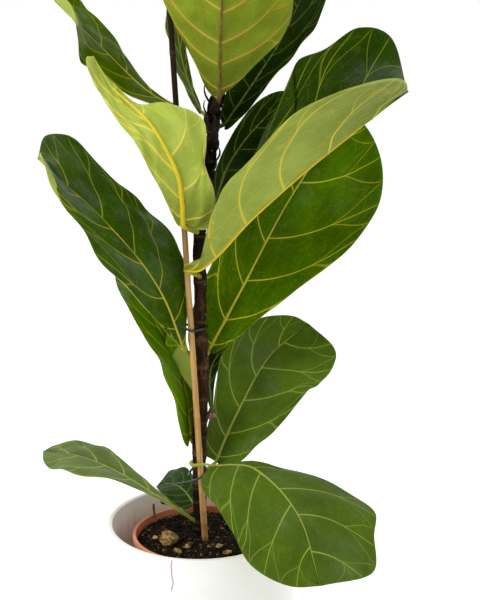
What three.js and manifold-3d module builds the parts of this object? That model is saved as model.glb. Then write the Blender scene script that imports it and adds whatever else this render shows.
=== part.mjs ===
// Potted fiddle leaf fig: a white planter, a grow pot with its mix, a caned stem and its leaves.
// Millimetres, +Z up, origin at the middle of the planter's base. The plant's front faces -Y.
import * as THREE from "three";
import { mergeVertices } from "three/addons/utils/BufferGeometryUtils.js";
import Module from "manifold-3d";

const wasm = await Module();
wasm.setup();

// ---- Driving dimensions ----
const SEAT_GAP = 0.3;
const ROUND_STEPS = 40;

const PLANTER = { height: 210, radius: 115, wall: 5.5, floor: 8, foot: 3, lipRound: 0.3 };
const POT = {
  radius: 85, baseRadius: 66, rimZ: 194, rimRound: 1, wall: 2, band: 9, bandOut: 2.2,
  holes: 6, holeRadius: 5, holeRing: 0.7, holeSides: 10,
};
const SOIL = { topZ: 186, dome: 4, sideGap: 0.9, chamfer: 1, rings: 5 };
const CANE = { foot: [12, -15, 70], top: [-33, -8, 880], radius: 4, steps: 4, sides: 12 };
const STEM = {
  route: [[-1, 2, 120], [-1, 1, 190], [-2, 1, 250], [-2, 3, 315], [1, 4, 389],
    [0, 4, 454], [0, 4, 519], [0, 4, 575], [11, 4, 643], [16, 4, 690], [22, 4, 745]],
  baseRadius: 8.6,
  topRadius: 4.6,
  swelling: 0.9,
  swellingLength: 7,
  steps: 40,
  sides: 8,
};
const BUD = {
  route: [[0, 0, SEAT_GAP], [1, 0, 12], [3, -1, 30]], tipRadius: 0.5, swell: 3.8, steps: 8, sides: 8,
};
const STUB = { route: [[2, 4, 343], [14, -2, 347], [19, -5, 350]], radius: 2.4, steps: 6, sides: 8 };
const PETIOLE = {
  radius: 2.5, ribRadius: 1.1, taper: 1.4, under: 0.3, ribRows: [0.05, 0.45, 0.65, 0.8], sides: 6, steps: 9,
};
// veinBend: how far side veins curve towards the tip on their way out, as a share.
const BLADE = { thickness: 1.3, rows: 10, columns: 3, first: 0.035, last: 0.985, veinBend: 0.35 };
const FLAT = [[0, 0, 0], [0, 0, 0]];

// Half outlines of a blade, from base to tip: share of the length, share of the half width.
const WEDGE = [[0, 0], [-0.01, 0.07], [0.03, 0.18], [0.11, 0.29], [0.21, 0.41], [0.32, 0.56],
  [0.44, 0.75], [0.56, 0.92], [0.68, 1], [0.79, 0.95], [0.89, 0.74], [0.965, 0.4], [1, 0]];
const FIDDLE = [[0, 0], [-0.045, 0.14], [-0.02, 0.36], [0.07, 0.5], [0.19, 0.56], [0.32, 0.6],
  [0.45, 0.72], [0.59, 0.88], [0.73, 0.99], [0.85, 0.97], [0.94, 0.76], [0.985, 0.42], [1, 0]];
const FULL = [[0, 0], [-0.04, 0.18], [0, 0.42], [0.1, 0.6], [0.22, 0.71], [0.35, 0.8],
  [0.47, 0.89], [0.59, 0.97], [0.7, 1], [0.81, 0.94], [0.9, 0.74], [0.97, 0.4], [1, 0]];

// Half outlines of single halves that are folded, lobed or cut to one side.
const OWN = {
  round: [[0, 0], [0.02, 0.06], [0.06, 0.16], [0.11, 0.34], [0.19, 0.54],
    [0.28, 0.74], [0.4, 0.94], [0.53, 1], [0.67, 0.94],
    [0.77, 0.84], [0.88, 0.64], [0.96, 0.38], [1, 0]],
  tipped: [[0, 0], [0, 0.05], [0.05, 0.08], [0.15, 0.1], [0.28, 0.12],
    [0.4, 0.14], [0.5, 0.2], [0.6, 0.38], [0.7, 0.64],
    [0.79, 0.87], [0.87, 1], [0.95, 0.75], [1, 0]],
  lobed: [[0, 0], [-0.02, 0.3], [0, 0.6], [0.08, 0.7], [0.19, 0.7],
    [0.27, 0.61], [0.34, 0.66], [0.42, 0.96], [0.49, 0.9],
    [0.57, 0.6], [0.69, 0.34], [0.84, 0.2], [1, 0]],
  strap: [[0, 0], [-0.01, 0.1], [0, 0.3], [0.08, 0.5], [0.18, 0.74],
    [0.3, 0.92], [0.45, 1], [0.6, 0.88], [0.72, 0.72],
    [0.82, 0.72], [0.91, 0.85], [0.98, 0.55], [1, 0]],
  near: [[0, 0], [0.01, 0.08], [0.05, 0.14], [0.13, 0.14], [0.22, 0.28],
    [0.33, 0.5], [0.45, 0.7], [0.58, 0.82], [0.7, 0.95],
    [0.79, 1], [0.87, 0.76], [0.95, 0.4], [1, 0]],
  far: [[0, 0], [0.03, 0.03], [0.09, 0.07], [0.18, 0.14], [0.3, 0.22],
    [0.43, 0.31], [0.56, 0.41], [0.66, 0.58], [0.75, 0.91],
    [0.85, 0.85], [0.97, 0.88], [1.05, 0.56], [1, 0]],
  slack: [[0, 0], [0.02, 0.04], [0.08, 0.12], [0.16, 0.26], [0.25, 0.44],
    [0.35, 0.68], [0.46, 0.94], [0.58, 1], [0.69, 0.78],
    [0.79, 0.69], [0.89, 0.75], [0.99, 0.57], [1, 0]],
  blunt: [[0, 0], [0.02, 0.05], [0.07, 0.16], [0.15, 0.3], [0.25, 0.53],
    [0.34, 0.86], [0.45, 1.08], [0.57, 1], [0.7, 0.95],
    [0.83, 0.98], [0.97, 0.9], [1.05, 0.48], [1, 0]],
  early: [[0, 0], [0, 0.12], [0.01, 0.32], [0.09, 0.47], [0.2, 0.55],
    [0.31, 0.66], [0.43, 0.83], [0.55, 1], [0.66, 0.97],
    [0.77, 0.88], [0.87, 0.66], [0.96, 0.36], [1, 0]],
  late: [[0, 0], [0, 0.05], [0, 0.12], [0.04, 0.17], [0.14, 0.18],
    [0.28, 0.22], [0.42, 0.34], [0.53, 0.58], [0.62, 0.92],
    [0.73, 1], [0.84, 0.77], [1.01, 0.58], [1, 0]],
  stalked: [[0, 0], [0, 0.06], [0.05, 0.11], [0.14, 0.16], [0.24, 0.21],
    [0.34, 0.26], [0.44, 0.36], [0.53, 0.57], [0.63, 0.82],
    [0.74, 1], [0.86, 0.94], [0.96, 0.52], [1, 0]],
  hung: [[0, 0], [-0.01, 0.14], [0.02, 0.38], [0.1, 0.62], [0.22, 0.78],
    [0.35, 0.87], [0.47, 0.93], [0.59, 0.98], [0.7, 1],
    [0.81, 0.94], [0.9, 0.74], [0.97, 0.4], [1, 0]],
  lapped: [[0, 0], [-0.04, 0.22], [0, 0.5], [0.1, 0.74], [0.22, 0.9],
    [0.35, 0.96], [0.47, 0.94], [0.59, 0.82], [0.7, 0.64],
    [0.81, 0.46], [0.9, 0.31], [0.97, 0.17], [1, 0]],
  waist: [[0, 0], [-0.04, 0.16], [-0.01, 0.38], [0.08, 0.54], [0.2, 0.62],
    [0.33, 0.66], [0.45, 0.71], [0.58, 0.8], [0.7, 0.9],
    [0.82, 0.88], [0.92, 0.7], [0.98, 0.4], [1, 0]],
  fuller: [[0, 0], [-0.01, 0.07], [0.03, 0.18], [0.1, 0.29], [0.2, 0.42],
    [0.31, 0.6], [0.43, 0.79], [0.55, 0.95], [0.67, 1],
    [0.79, 0.95], [0.89, 0.76], [0.96, 0.44], [1, 0]],
  even: [[0, 0], [-0.04, 0.22], [0, 0.5], [0.1, 0.72], [0.22, 0.88],
    [0.35, 0.95], [0.47, 0.95], [0.59, 0.9], [0.7, 0.88],
    [0.81, 0.84], [0.9, 0.68], [0.97, 0.38], [1, 0]],
  broad: [[0, 0], [-0.02, 0.13], [0.01, 0.32], [0.1, 0.48], [0.22, 0.61],
    [0.35, 0.73], [0.47, 0.78], [0.59, 0.83], [0.71, 0.86],
    [0.83, 0.88], [0.94, 0.83], [1.02, 0.56], [1, 0]],
};

// Leaves, top to bottom. petiole: points from inside the stem to the blade. rib: midrib from base to tip.
// face: where the upper side looks at base, middle and tip. width, shape, fold, curl: left half, then right
// half, seen from the base with the upper side up. shape: 0 wedge, 1 fiddle, 2 full, or the name of an own
// outline. fold and curl: degrees at base, middle and tip, with no curl where none is given. wave: height of
// the margin's waves, how many, and where they start.
const LEAVES = {
  leaf_top_front: {
    petiole: [[21, 2, 722]],
    rib: [[25, -8, 735], [26, -32, 790], [29, -52, 846], [32, -75, 925]],
    face: [[0, 1, 0.2], [0, 1, 0.15], [0, 1, 0.1]],
    width: [80, 73], shape: ["round", 0],
    fold: [[15, 12, 8], [15, 12, 8]], wave: [4, 3, 0.1],
  },
  leaf_top_right: {
    petiole: [[19, 5, 698]],
    rib: [[32, 14, 702], [67, 48, 749], [105, 78, 806], [134, 98, 873]],
    face: [[-0.4, -0.75, 0.4], [-0.4, -0.75, 0.4], [-0.4, -0.75, 0.4]],
    width: [60, 38], shape: [0, 0.9],
    fold: [[15, 12, 8], [15, 12, 8]], wave: [4, 3, 0.1],
  },
  leaf_top_back: {
    petiole: [[19, 4, 706]],
    rib: [[2, 26, 716], [-13, 44, 748], [-24, 60, 795], [-28, 76, 868]],
    face: [[0.75, -0.6, 0.25], [0.75, -0.6, 0.25], [0.75, -0.6, 0.25]],
    width: [26, 12], shape: [2, 0.3],
    fold: [[15, 15, 10], [15, 15, 10]], wave: [3, 3, 0.1],
  },
  leaf_upper_left: {
    petiole: [[16, 4, 690]],
    rib: [[0, 16, 706], [-64, 42, 739], [-113, 54, 785], [-167, 46, 840]],
    face: [[0.62, -0.4, 0.68], [0.62, -0.4, 0.68], [0.62, -0.4, 0.68]],
    width: [60, 54], shape: [0, "tipped"],
    fold: [[5, 5, 5], [5, 0, -5]], wave: [4, 3, 0],
  },
  leaf_back_right: {
    petiole: [[2, 4, 585]],
    rib: [[17, 17, 600], [36, 78, 645], [75, 132, 688], [116, 170, 715]],
    face: [[0.05, -0.9, 0.5], [0.1, -0.9, 0.55], [0.1, -0.9, 0.6]],
    width: [21, 44], shape: [1, 0],
    fold: [[15, 10, 5], [0, -10, -10]], wave: [4, 3, 0.1],
  },
  leaf_front_left: {
    petiole: [[-1, 4, 575], [-5, -17, 581]],
    rib: [[-16, -31, 591], [-21, -61, 653], [-46, -72, 708], [-80, -50, 732], [-118, -14, 782]],
    face: [[0.2, 1, 0], [-0.2, 0.95, -0.3], [-0.52, 0.2, -0.85]],
    width: [54, 28], shape: ["lobed", "strap"],
    fold: [[0, 5, 40], [0, -5, -10]], wave: [4, 3, 0.3],
  },
  leaf_folded_right: {
    petiole: [[0, 4, 520], [0, -16, 527]],
    rib: [[-16, -24, 536], [10, -32, 544], [60, -46, 600], [122, -60, 659],
      [185, -50, 708], [238, -25, 743]],
    face: [[-0.6, -0.1, 0.8], [-0.5, -0.1, 0.85], [-0.3, -0.1, 0.95]],
    width: [108, 115], shape: ["far", "near"],
    fold: [[65, 60, 80], [60, 50, 30]], wave: [5, 3, 0.1],
  },
  leaf_big_right: {
    petiole: [[1, 4, 412]],
    rib: [[12, 12, 428], [51, 42, 496], [115, 72, 612], [182, 78, 712]],
    face: [[-0.2, -0.9, 0.4], [-0.15, -0.9, 0.45], [-0.1, -0.9, 0.5]],
    width: [74, 101], shape: ["waist", "fuller"],
    fold: [[15, 28, 20], [15, 10, 5]], curl: [[0, 0, 0], [0, -10, -10]], wave: [4, 3, 0.1],
  },
  leaf_long_left: {
    petiole: [[1, 4, 415], [-6, -1, 422]],
    rib: [[-19, -15, 437], [-46, -37, 517], [-101, -46, 594], [-182, -30, 668]],
    face: [[0.35, -0.85, 0.35], [0.72, -0.4, 0.55], [0.6, -0.45, 0.65]],
    width: [66, 78], shape: ["slack", "blunt"],
    fold: [[8, 8, 5], [-4, 4, 5]], curl: [[0, -5, -5], [0, -5, -5]], wave: [3, 3, 0.1],
  },
  leaf_middle_back: {
    petiole: [[0, 3, 324]],
    rib: [[13, 22, 350], [11, 92, 377], [30, 130, 396], [48, 162, 414]],
    face: [[0.1, -0.9, 0.5], [0.1, -0.9, 0.55], [0.1, -0.9, 0.6]],
    width: [16, 12], shape: [0, 0],
    fold: [[15, 10, 5], [0, -15, -15]], wave: [4, 4, 0.1],
  },
  leaf_lower_left: {
    petiole: [[-2, 3, 302]],
    rib: [[-13, 8, 316], [-20, 22, 379], [-48, 38, 441], [-100, 45, 529]],
    face: [[0.75, -0.35, 0.5], [0.72, -0.38, 0.5], [0.7, -0.4, 0.5]],
    width: [52, 58], shape: ["even", 0.5],
    fold: [[15, 12, 8], [20, 15, 8]], curl: [[0, 0, 0], [40, 20, 0]], wave: [2, 3, 0.1],
  },
  leaf_drooping: {
    petiole: [[-2, 3, 284], [-11, -2, 287], [-8, -19, 290], [3, -23, 293]],
    rib: [[18, -32, 296], [66, -90, 314], [114, -150, 283], [138, -190, 215]],
    face: [[0.1, -0.5, 0.9], [0.2, -0.75, 0.65], [0.3, -0.9, 0.4]],
    width: [110, 76], shape: ["late", "hung"],
    fold: [[-25, -22, 10], [-5, -5, -5]], curl: [[0, -20, -20], [0, -20, -20]], wave: [4, 3, 0.1],
  },
  leaf_middle_right: {
    petiole: [[-2, 2, 266]],
    rib: [[19, 12, 283], [43, 48, 329], [84, 78, 396], [135, 90, 438]],
    face: [[-0.2, -0.9, 0.5], [-0.15, -0.9, 0.55], [-0.1, -0.9, 0.6]],
    width: [52, 82], shape: ["early", "broad"],
    fold: [[25, 28, 20], [15, 10, 5]], wave: [4, 3, 0.1],
  },
  leaf_low_back: {
    petiole: [[-2, 2, 214]],
    rib: [[-9, 14, 225], [-22, 34, 235], [-38, 50, 238], [-57, 62, 231]],
    face: [[0.1, -0.5, 0.8], [0.1, -0.4, 0.85], [0.1, -0.3, 0.9]],
    width: [37, 30], shape: ["lapped", 0.5],
    fold: [[0, 0, 5], [15, 10, 5]], wave: [3, 3, 0.1],
  },
  leaf_low_left: {
    petiole: [[-2, 1, 205]],
    rib: [[-15, -8, 219], [-60, -10, 251], [-111, 0, 279], [-155, 8, 293], [-195, 12, 296]],
    face: [[0.35, -0.05, 0.95], [0.3, -0.05, 0.95], [0.2, -0.05, 0.95]],
    width: [55, 45], shape: ["stalked", "stalked"],
    fold: [[15, 8, 0], [15, 8, 0]], curl: [[0, -5, -5], [0, -5, -5]], wave: [3, 3, 0.1],
  },
};

// Wire ties: from the free tail, round the cane and the stem, back to the twist.
const WIRE = { radius: 1.1, steps: 26, sides: 6 };
const TIES = {
  tie_upper: [[-25, -30, 472], [-17, -25, 466], [-9, -18.3, 460], [1, -9, 459], [8.4, 2, 459],
    [6.5, 10, 459], [-1, 13, 460], [-8, 9, 461], [-14, -2, 463], [-16, -12, 467]],
  tie_lower: [[-29, -10, 262], [-16, -19, 268], [-3, -20.5, 273], [6, -16, 276], [9, -3, 277],
    [6.5, 6.5, 277], [-2, 11.5, 276], [-10.5, 7, 275], [-13.5, -3, 273], [-14, -13, 274]],
};

// Bark chips on the mix: [x, y, turn in degrees, length, width, height].
const CHIPS = [
  [-38, -27, 35, 27, 19, 19], [-56, -8, 100, 13, 9, 6], [-44, 6, 20, 12, 8, 6], [-27, -48, 150, 17, 10, 7],
  [24, -36, 60, 14, 9, 7], [34, -52, 10, 12, 9, 6], [-16, -36, 120, 10, 7, 5], [52, 12, 75, 16, 11, 7],
];

const LOOK = {
  planter: [0xf6f6f4, 0.45],
  pot: [0xa65a44, 0.6],
  soil: [0x2b2019, 0.95],
  bark: [0x7d6238, 0.9],
  stem: [0x4a3524, 0.85],
  cane: [0xc9a56c, 0.55],
  wire: [0x1d3a38, 0.35],
  leaf: [0x3c6b14, 0.35],
  youngLeaf: [0x93a853, 0.45],
  bud: [0x4a4a22, 0.6],
};
const YOUNG = ["leaf_top_front", "leaf_front_left", "leaf_folded_right"];

// ---- Geometry helpers ----
const vector = (p) => new THREE.Vector3(...p);
const curveThrough = (points) => new THREE.CatmullRomCurve3(points, false, "catmullrom", 0.5);

// Value at share s of the length, from values at base, middle and tip.
function along([base, middle, tip], s) {
  return base * (1 - s) * (1 - 2 * s) + 4 * middle * s * (1 - s) + tip * s * (2 * s - 1);
}

function indexed(vertices, triangles) {
  const geometry = new THREE.BufferGeometry();
  geometry.setAttribute("position", new THREE.Float32BufferAttribute(vertices, 3));
  geometry.setIndex(triangles);
  return geometry;
}

function solid(geometry) {
  const bare = geometry.clone();
  bare.deleteAttribute("normal");
  bare.deleteAttribute("uv");
  const merged = mergeVertices(bare, 1e-4);
  return new wasm.Manifold(new wasm.Mesh({
    numProp: 3,
    vertProperties: merged.attributes.position.array,
    triVerts: new Uint32Array(merged.index.array),
  }));
}

// The biggest closed body, without pinholes between blade and midrib or crumbs left by a cut.
function largest(made) {
  return made.decompose().reduce((a, b) => (a.volume() > b.volume() ? a : b));
}

function geometryOf(made) {
  const mesh = made.getMesh();
  const vertices = [];
  for (let i = 0; i < mesh.numVert; i++) {
    const start = i * mesh.numProp;
    vertices.push(...mesh.vertProperties.subarray(start, start + 3));
  }
  const geometry = indexed(vertices, Array.from(mesh.triVerts)).toNonIndexed();
  geometry.computeVertexNormals();
  return geometry;
}

// A closed round bar along a curve, with its radius from radiusAt(share of the length).
function bar(curve, steps, sides, radiusAt) {
  const frames = curve.computeFrenetFrames(steps, false);
  const vertices = [];
  const triangles = [];
  for (let i = 0; i <= steps; i++) {
    const centre = curve.getPointAt(i / steps);
    for (let j = 0; j < sides; j++) {
      const angle = (2 * Math.PI * j) / sides;
      const point = centre.clone()
        .addScaledVector(frames.normals[i], Math.cos(angle) * radiusAt(i / steps))
        .addScaledVector(frames.binormals[i], Math.sin(angle) * radiusAt(i / steps));
      vertices.push(...point.toArray());
    }
  }
  for (let i = 0; i < steps; i++) {
    for (let j = 0; j < sides; j++) {
      const a = i * sides + j;
      const b = i * sides + ((j + 1) % sides);
      triangles.push(a, b, b + sides, a, b + sides, a + sides);
    }
  }
  const last = steps * sides;
  for (let j = 1; j < sides - 1; j++) {
    triangles.push(0, j + 1, j);
    triangles.push(last, last + j, last + j + 1);
  }
  return indexed(vertices, triangles);
}

// ---- Holder ----
function planter() {
  const { height, radius, wall, floor, foot } = PLANTER;
  const inner = radius - wall;
  const lip = wall / 2;
  const cut = lip * PLANTER.lipRound;
  const profile = [[0, 0], [radius - foot, 0], [radius, foot], [radius, height - lip],
    [radius - cut, height - cut], [radius - lip, height], [inner + cut, height - cut],
    [inner, height - lip], [inner, floor + foot], [inner - foot, floor], [0, floor]];
  return turned(profile, ROUND_STEPS);
}

function turned(profile, steps) {
  const points = profile.map(([r, z]) => new THREE.Vector2(r, z));
  return new THREE.LatheGeometry(points, steps).rotateX(Math.PI / 2);
}

const potFloorZ = PLANTER.floor + SEAT_GAP;
const potRadiusAt = (z) =>
  POT.baseRadius + ((POT.radius - POT.bandOut - POT.baseRadius) * (z - potFloorZ)) / (POT.rimZ - potFloorZ);

function growPot() {
  const { radius, baseRadius, rimZ, rimRound, wall, band, bandOut, holes, holeRadius, holeRing } = POT;
  const mouth = radius - bandOut - wall;
  const profile = [[0, potFloorZ], [baseRadius, potFloorZ], [potRadiusAt(rimZ - band), rimZ - band],
    [radius, rimZ - band], [radius, rimZ - rimRound], [radius - rimRound, rimZ], [mouth + rimRound, rimZ],
    [mouth, rimZ - rimRound], [baseRadius - wall, potFloorZ + wall], [0, potFloorZ + wall]];
  let made = solid(turned(profile, ROUND_STEPS));
  for (let i = 0; i < holes; i++) {
    const angle = (2 * Math.PI * i) / holes;
    const hole = new THREE.CylinderGeometry(holeRadius, holeRadius, 4 * wall, POT.holeSides);
    const out = baseRadius * holeRing;
    hole.rotateX(Math.PI / 2).translate(Math.cos(angle) * out, Math.sin(angle) * out, potFloorZ);
    made = made.subtract(solid(hole));
  }
  return geometryOf(made);
}

const soilRadius = (z) => potRadiusAt(z) - POT.wall - SOIL.sideGap;
const soilHeight = (r) => SOIL.topZ + SOIL.dome * (1 - (r / POT.radius) ** 2);

function soil(...grown) {
  const bottom = potFloorZ + POT.wall + SEAT_GAP;
  const edge = soilRadius(SOIL.topZ);
  const profile = [[0, bottom], [soilRadius(bottom) - SOIL.chamfer, bottom]];
  for (let ring = SOIL.rings; ring >= 0; ring--) {
    const r = (edge * ring) / SOIL.rings;
    profile.push([r, soilHeight(r)]);
  }
  let made = solid(turned(profile, ROUND_STEPS));
  for (const piece of grown) {
    made = made.subtract(piece).subtract(piece.translate([0, 0, -SEAT_GAP]));
  }
  return geometryOf(made);
}

// ---- Stem and cane ----
const stemCurve = curveThrough(STEM.route.map(vector));
const STEM_NODES = Object.values(LEAVES).map((leaf) => leaf.petiole[0][2]);

function stemRadius(share) {
  const z = stemCurve.getPointAt(share).z;
  const near = (node) => Math.exp(-(((z - node) / STEM.swellingLength) ** 2));
  const swell = STEM_NODES.reduce((sum, node) => sum + near(node), 0);
  const taper = STEM.baseRadius + (STEM.topRadius - STEM.baseRadius) * share;
  return taper + STEM.swelling * Math.min(swell, 1);
}

const stemBar = (extra) => bar(stemCurve, STEM.steps, STEM.sides, (s) => stemRadius(s) + extra);

function caneBar(extra) {
  const path = new THREE.LineCurve3(vector(CANE.foot), vector(CANE.top));
  return bar(path, CANE.steps, CANE.sides, () => CANE.radius + extra);
}

// ---- Leaves ----
function outlineCurve(shape) {
  if (OWN[shape]) {
    return curveThrough(OWN[shape].map(([x, y]) => new THREE.Vector3(x, y, 0)));
  }
  const from = shape <= 1 ? WEDGE : FIDDLE;
  const to = shape <= 1 ? FIDDLE : FULL;
  const k = shape <= 1 ? shape : shape - 1;
  return curveThrough(from.map(([x, y], i) =>
    new THREE.Vector3(x + (to[i][0] - x) * k, y + (to[i][1] - y) * k, 0)));
}

// The blade's middle surface: point and upward normal at row q (0 base, 1 tip) and side t (-1 left, 1 right).
function bladeSurface(leaf) {
  const rib = curveThrough(leaf.rib.map(vector));
  const length = rib.getLength();
  const margins = leaf.shape.map(outlineCurve);
  const faces = leaf.face.map((f) => vector(f).normalize());
  const curl = leaf.curl ?? FLAT;
  const widest = Math.max(...leaf.width);
  return (q, t) => {
    const half = t > 0 ? 1 : 0;
    const side = Math.sign(t);
    const reach = Math.abs(t);
    const margin = margins[half].getPoint(q);
    const root = q * q;
    const x = root + (margin.x - root) * reach * (1 - BLADE.veinBend * (1 - reach));
    const s = Math.min(Math.max(x, 0), 1);
    const out = margin.y * reach * leaf.width[half];
    const tangent = rib.getTangentAt(s);
    const face = vector([0, 1, 2].map((k) => along(faces.map((f) => f.getComponent(k)), s)));
    const up = face.addScaledVector(tangent, -face.dot(tangent)).normalize();
    const across = new THREE.Vector3().crossVectors(tangent, up);
    const fold = THREE.MathUtils.degToRad(along(leaf.fold[half], s));
    const turn = THREE.MathUtils.degToRad(along(curl[half], s)) || 1e-4;
    const rate = turn / leaf.width[half];
    const angle = fold + rate * out;
    const [height, count, start] = leaf.wave;
    const wave = height * (out / widest) ** 2 * Math.sin(2 * Math.PI * (count * x + start + 0.25 * side));
    const point = rib.getPointAt(s)
      .addScaledVector(tangent, (x - s) * length)
      .addScaledVector(across, (side * (Math.sin(angle) - Math.sin(fold))) / rate)
      .addScaledVector(up, (Math.cos(fold) - Math.cos(angle)) / rate + wave);
    const normal = up.clone().multiplyScalar(Math.cos(angle))
      .addScaledVector(across, -side * Math.sin(angle));
    return { point, normal: side === 0 ? up : normal };
  };
}

function bladeSolid(surface) {
  const { thickness, rows, columns, first, last } = BLADE;
  const across = 2 * columns + 1;
  const vertices = [];
  for (const face of [0.5, -0.5]) {
    for (let i = 0; i <= rows; i++) {
      for (let j = 0; j < across; j++) {
        const { point, normal } = surface(first + ((last - first) * i) / rows, j / columns - 1);
        vertices.push(...point.addScaledVector(normal, face * thickness).toArray());
      }
    }
  }
  const under = (rows + 1) * across;
  const at = (i, j) => i * across + j;
  const triangles = [];
  for (let i = 0; i < rows; i++) {
    for (let j = 0; j < across - 1; j++) {
      const [a, b, c, d] = [at(i, j), at(i, j + 1), at(i + 1, j + 1), at(i + 1, j)];
      triangles.push(a, b, c, a, c, d);
      triangles.push(under + a, under + c, under + b, under + a, under + d, under + c);
    }
  }
  const loop = [];
  for (let j = 0; j < across - 1; j++) loop.push(at(0, j));
  for (let i = 0; i < rows; i++) loop.push(at(i, across - 1));
  for (let j = across - 1; j > 0; j--) loop.push(at(rows, j));
  for (let i = rows; i > 0; i--) loop.push(at(i, 0));
  loop.forEach((a, i) => {
    const b = loop[(i + 1) % loop.length];
    triangles.push(b, a, under + a, b, under + a, under + b);
  });
  return solid(indexed(vertices, triangles));
}

// The petiole, which runs on under the blade as its midrib.
function ribSolid(leaf, surface) {
  const points = leaf.petiole.map(vector);
  for (const q of PETIOLE.ribRows) {
    const { point, normal } = surface(q, 0);
    points.push(point.addScaledVector(normal, -PETIOLE.under));
  }
  const taper = (s) =>
    PETIOLE.radius + (PETIOLE.ribRadius - PETIOLE.radius) * Math.min(s * PETIOLE.taper, 1);
  return solid(bar(curveThrough(points), PETIOLE.steps, PETIOLE.sides, taper));
}

function leafGeometry(leaf, stemClear) {
  const surface = bladeSurface(leaf);
  const joined = bladeSolid(surface).add(ribSolid(leaf, surface)).subtract(stemClear);
  return geometryOf(largest(joined));
}

// ---- Small pieces ----
function bud() {
  const foot = vector(STEM.route[STEM.route.length - 1]);
  const path = curveThrough(BUD.route.map((p) => vector(p).add(foot)));
  return bar(path, BUD.steps, BUD.sides, (s) => BUD.tipRadius + BUD.swell * Math.sqrt(1 - s));
}

function leafStub(stemClear) {
  const made = solid(bar(curveThrough(STUB.route.map(vector)), STUB.steps, STUB.sides, () => STUB.radius));
  return geometryOf(made.subtract(stemClear));
}

function tie(route) {
  return bar(curveThrough(route.map(vector)), WIRE.steps, WIRE.sides, () => WIRE.radius);
}

function chip([x, y, turn, length, width, height]) {
  const geometry = new THREE.IcosahedronGeometry(1, 1);
  geometry.scale(length / 2, width / 2, height / 2);
  geometry.rotateZ(THREE.MathUtils.degToRad(turn));
  geometry.translate(x, y, soilHeight(Math.hypot(x, y)) + height / 2 + SEAT_GAP);
  return geometry;
}

// ---- Assembly ----
const plant = new THREE.Group();

function place(name, geometry, [color, roughness]) {
  const material = new THREE.MeshStandardMaterial({ color, roughness, metalness: 0 });
  const mesh = new THREE.Mesh(geometry, material);
  mesh.name = name;
  plant.add(mesh);
}

const stemClear = solid(stemBar(SEAT_GAP));
const caneClear = solid(caneBar(SEAT_GAP));

place("planter", planter(), LOOK.planter);
place("nursery_pot", growPot(), LOOK.pot);
place("soil", soil(stemClear, caneClear), LOOK.soil);
place("stem", stemBar(0), LOOK.stem);
place("bamboo_cane", caneBar(0), LOOK.cane);
place("growing_tip", bud(), LOOK.bud);
place("leaf_stub", leafStub(stemClear), LOOK.stem);
for (const [name, route] of Object.entries(TIES)) {
  place(name, tie(route), LOOK.wire);
}
for (const [name, leaf] of Object.entries(LEAVES)) {
  place(name, leafGeometry(leaf, stemClear), YOUNG.includes(name) ? LOOK.youngLeaf : LOOK.leaf);
}
CHIPS.forEach((row, i) => place(`bark_chip_${i + 1}`, chip(row), LOOK.bark));

export default plant;
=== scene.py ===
"""Potted fiddle leaf fig: fine leaves, bark, potting mix, grow pot and planter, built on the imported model."""

import bpy
import math
import random
import numpy as np
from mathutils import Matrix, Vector, noise


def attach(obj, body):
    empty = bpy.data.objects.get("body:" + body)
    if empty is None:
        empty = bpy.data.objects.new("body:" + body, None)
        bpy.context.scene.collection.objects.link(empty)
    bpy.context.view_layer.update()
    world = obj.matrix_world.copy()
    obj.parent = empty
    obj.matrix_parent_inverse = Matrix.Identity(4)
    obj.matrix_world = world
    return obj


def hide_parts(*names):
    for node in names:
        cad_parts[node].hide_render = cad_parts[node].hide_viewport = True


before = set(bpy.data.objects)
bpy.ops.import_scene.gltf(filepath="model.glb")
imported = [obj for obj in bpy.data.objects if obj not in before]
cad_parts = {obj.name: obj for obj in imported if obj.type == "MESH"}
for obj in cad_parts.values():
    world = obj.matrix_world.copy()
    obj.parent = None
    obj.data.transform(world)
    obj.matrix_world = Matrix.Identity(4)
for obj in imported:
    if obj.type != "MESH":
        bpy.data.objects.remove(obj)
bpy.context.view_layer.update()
MM = 0.001
BODY = "root"

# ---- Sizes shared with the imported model, in millimetres ----
PLANTER = dict(height=210, radius=115, wall=5.5, floor=8, foot=3)
POT = dict(radius=85, base=66, rim=194, wall=2, band=9, out=2.2)
SOIL = dict(top=186, dome=4)
CANE = dict(foot=(12, -15, 70), top=(-33, -8, 880), radius=4)
STEM = dict(
    route=[(-1, 2, 120), (-1, 1, 190), (-2, 1, 250), (-2, 3, 315), (1, 4, 389), (0, 4, 454),
           (0, 4, 519), (0, 4, 575), (11, 4, 643), (16, 4, 690), (22, 4, 745)],
    base=8.6, top=4.6,
)
SEAT = 0.3

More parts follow.
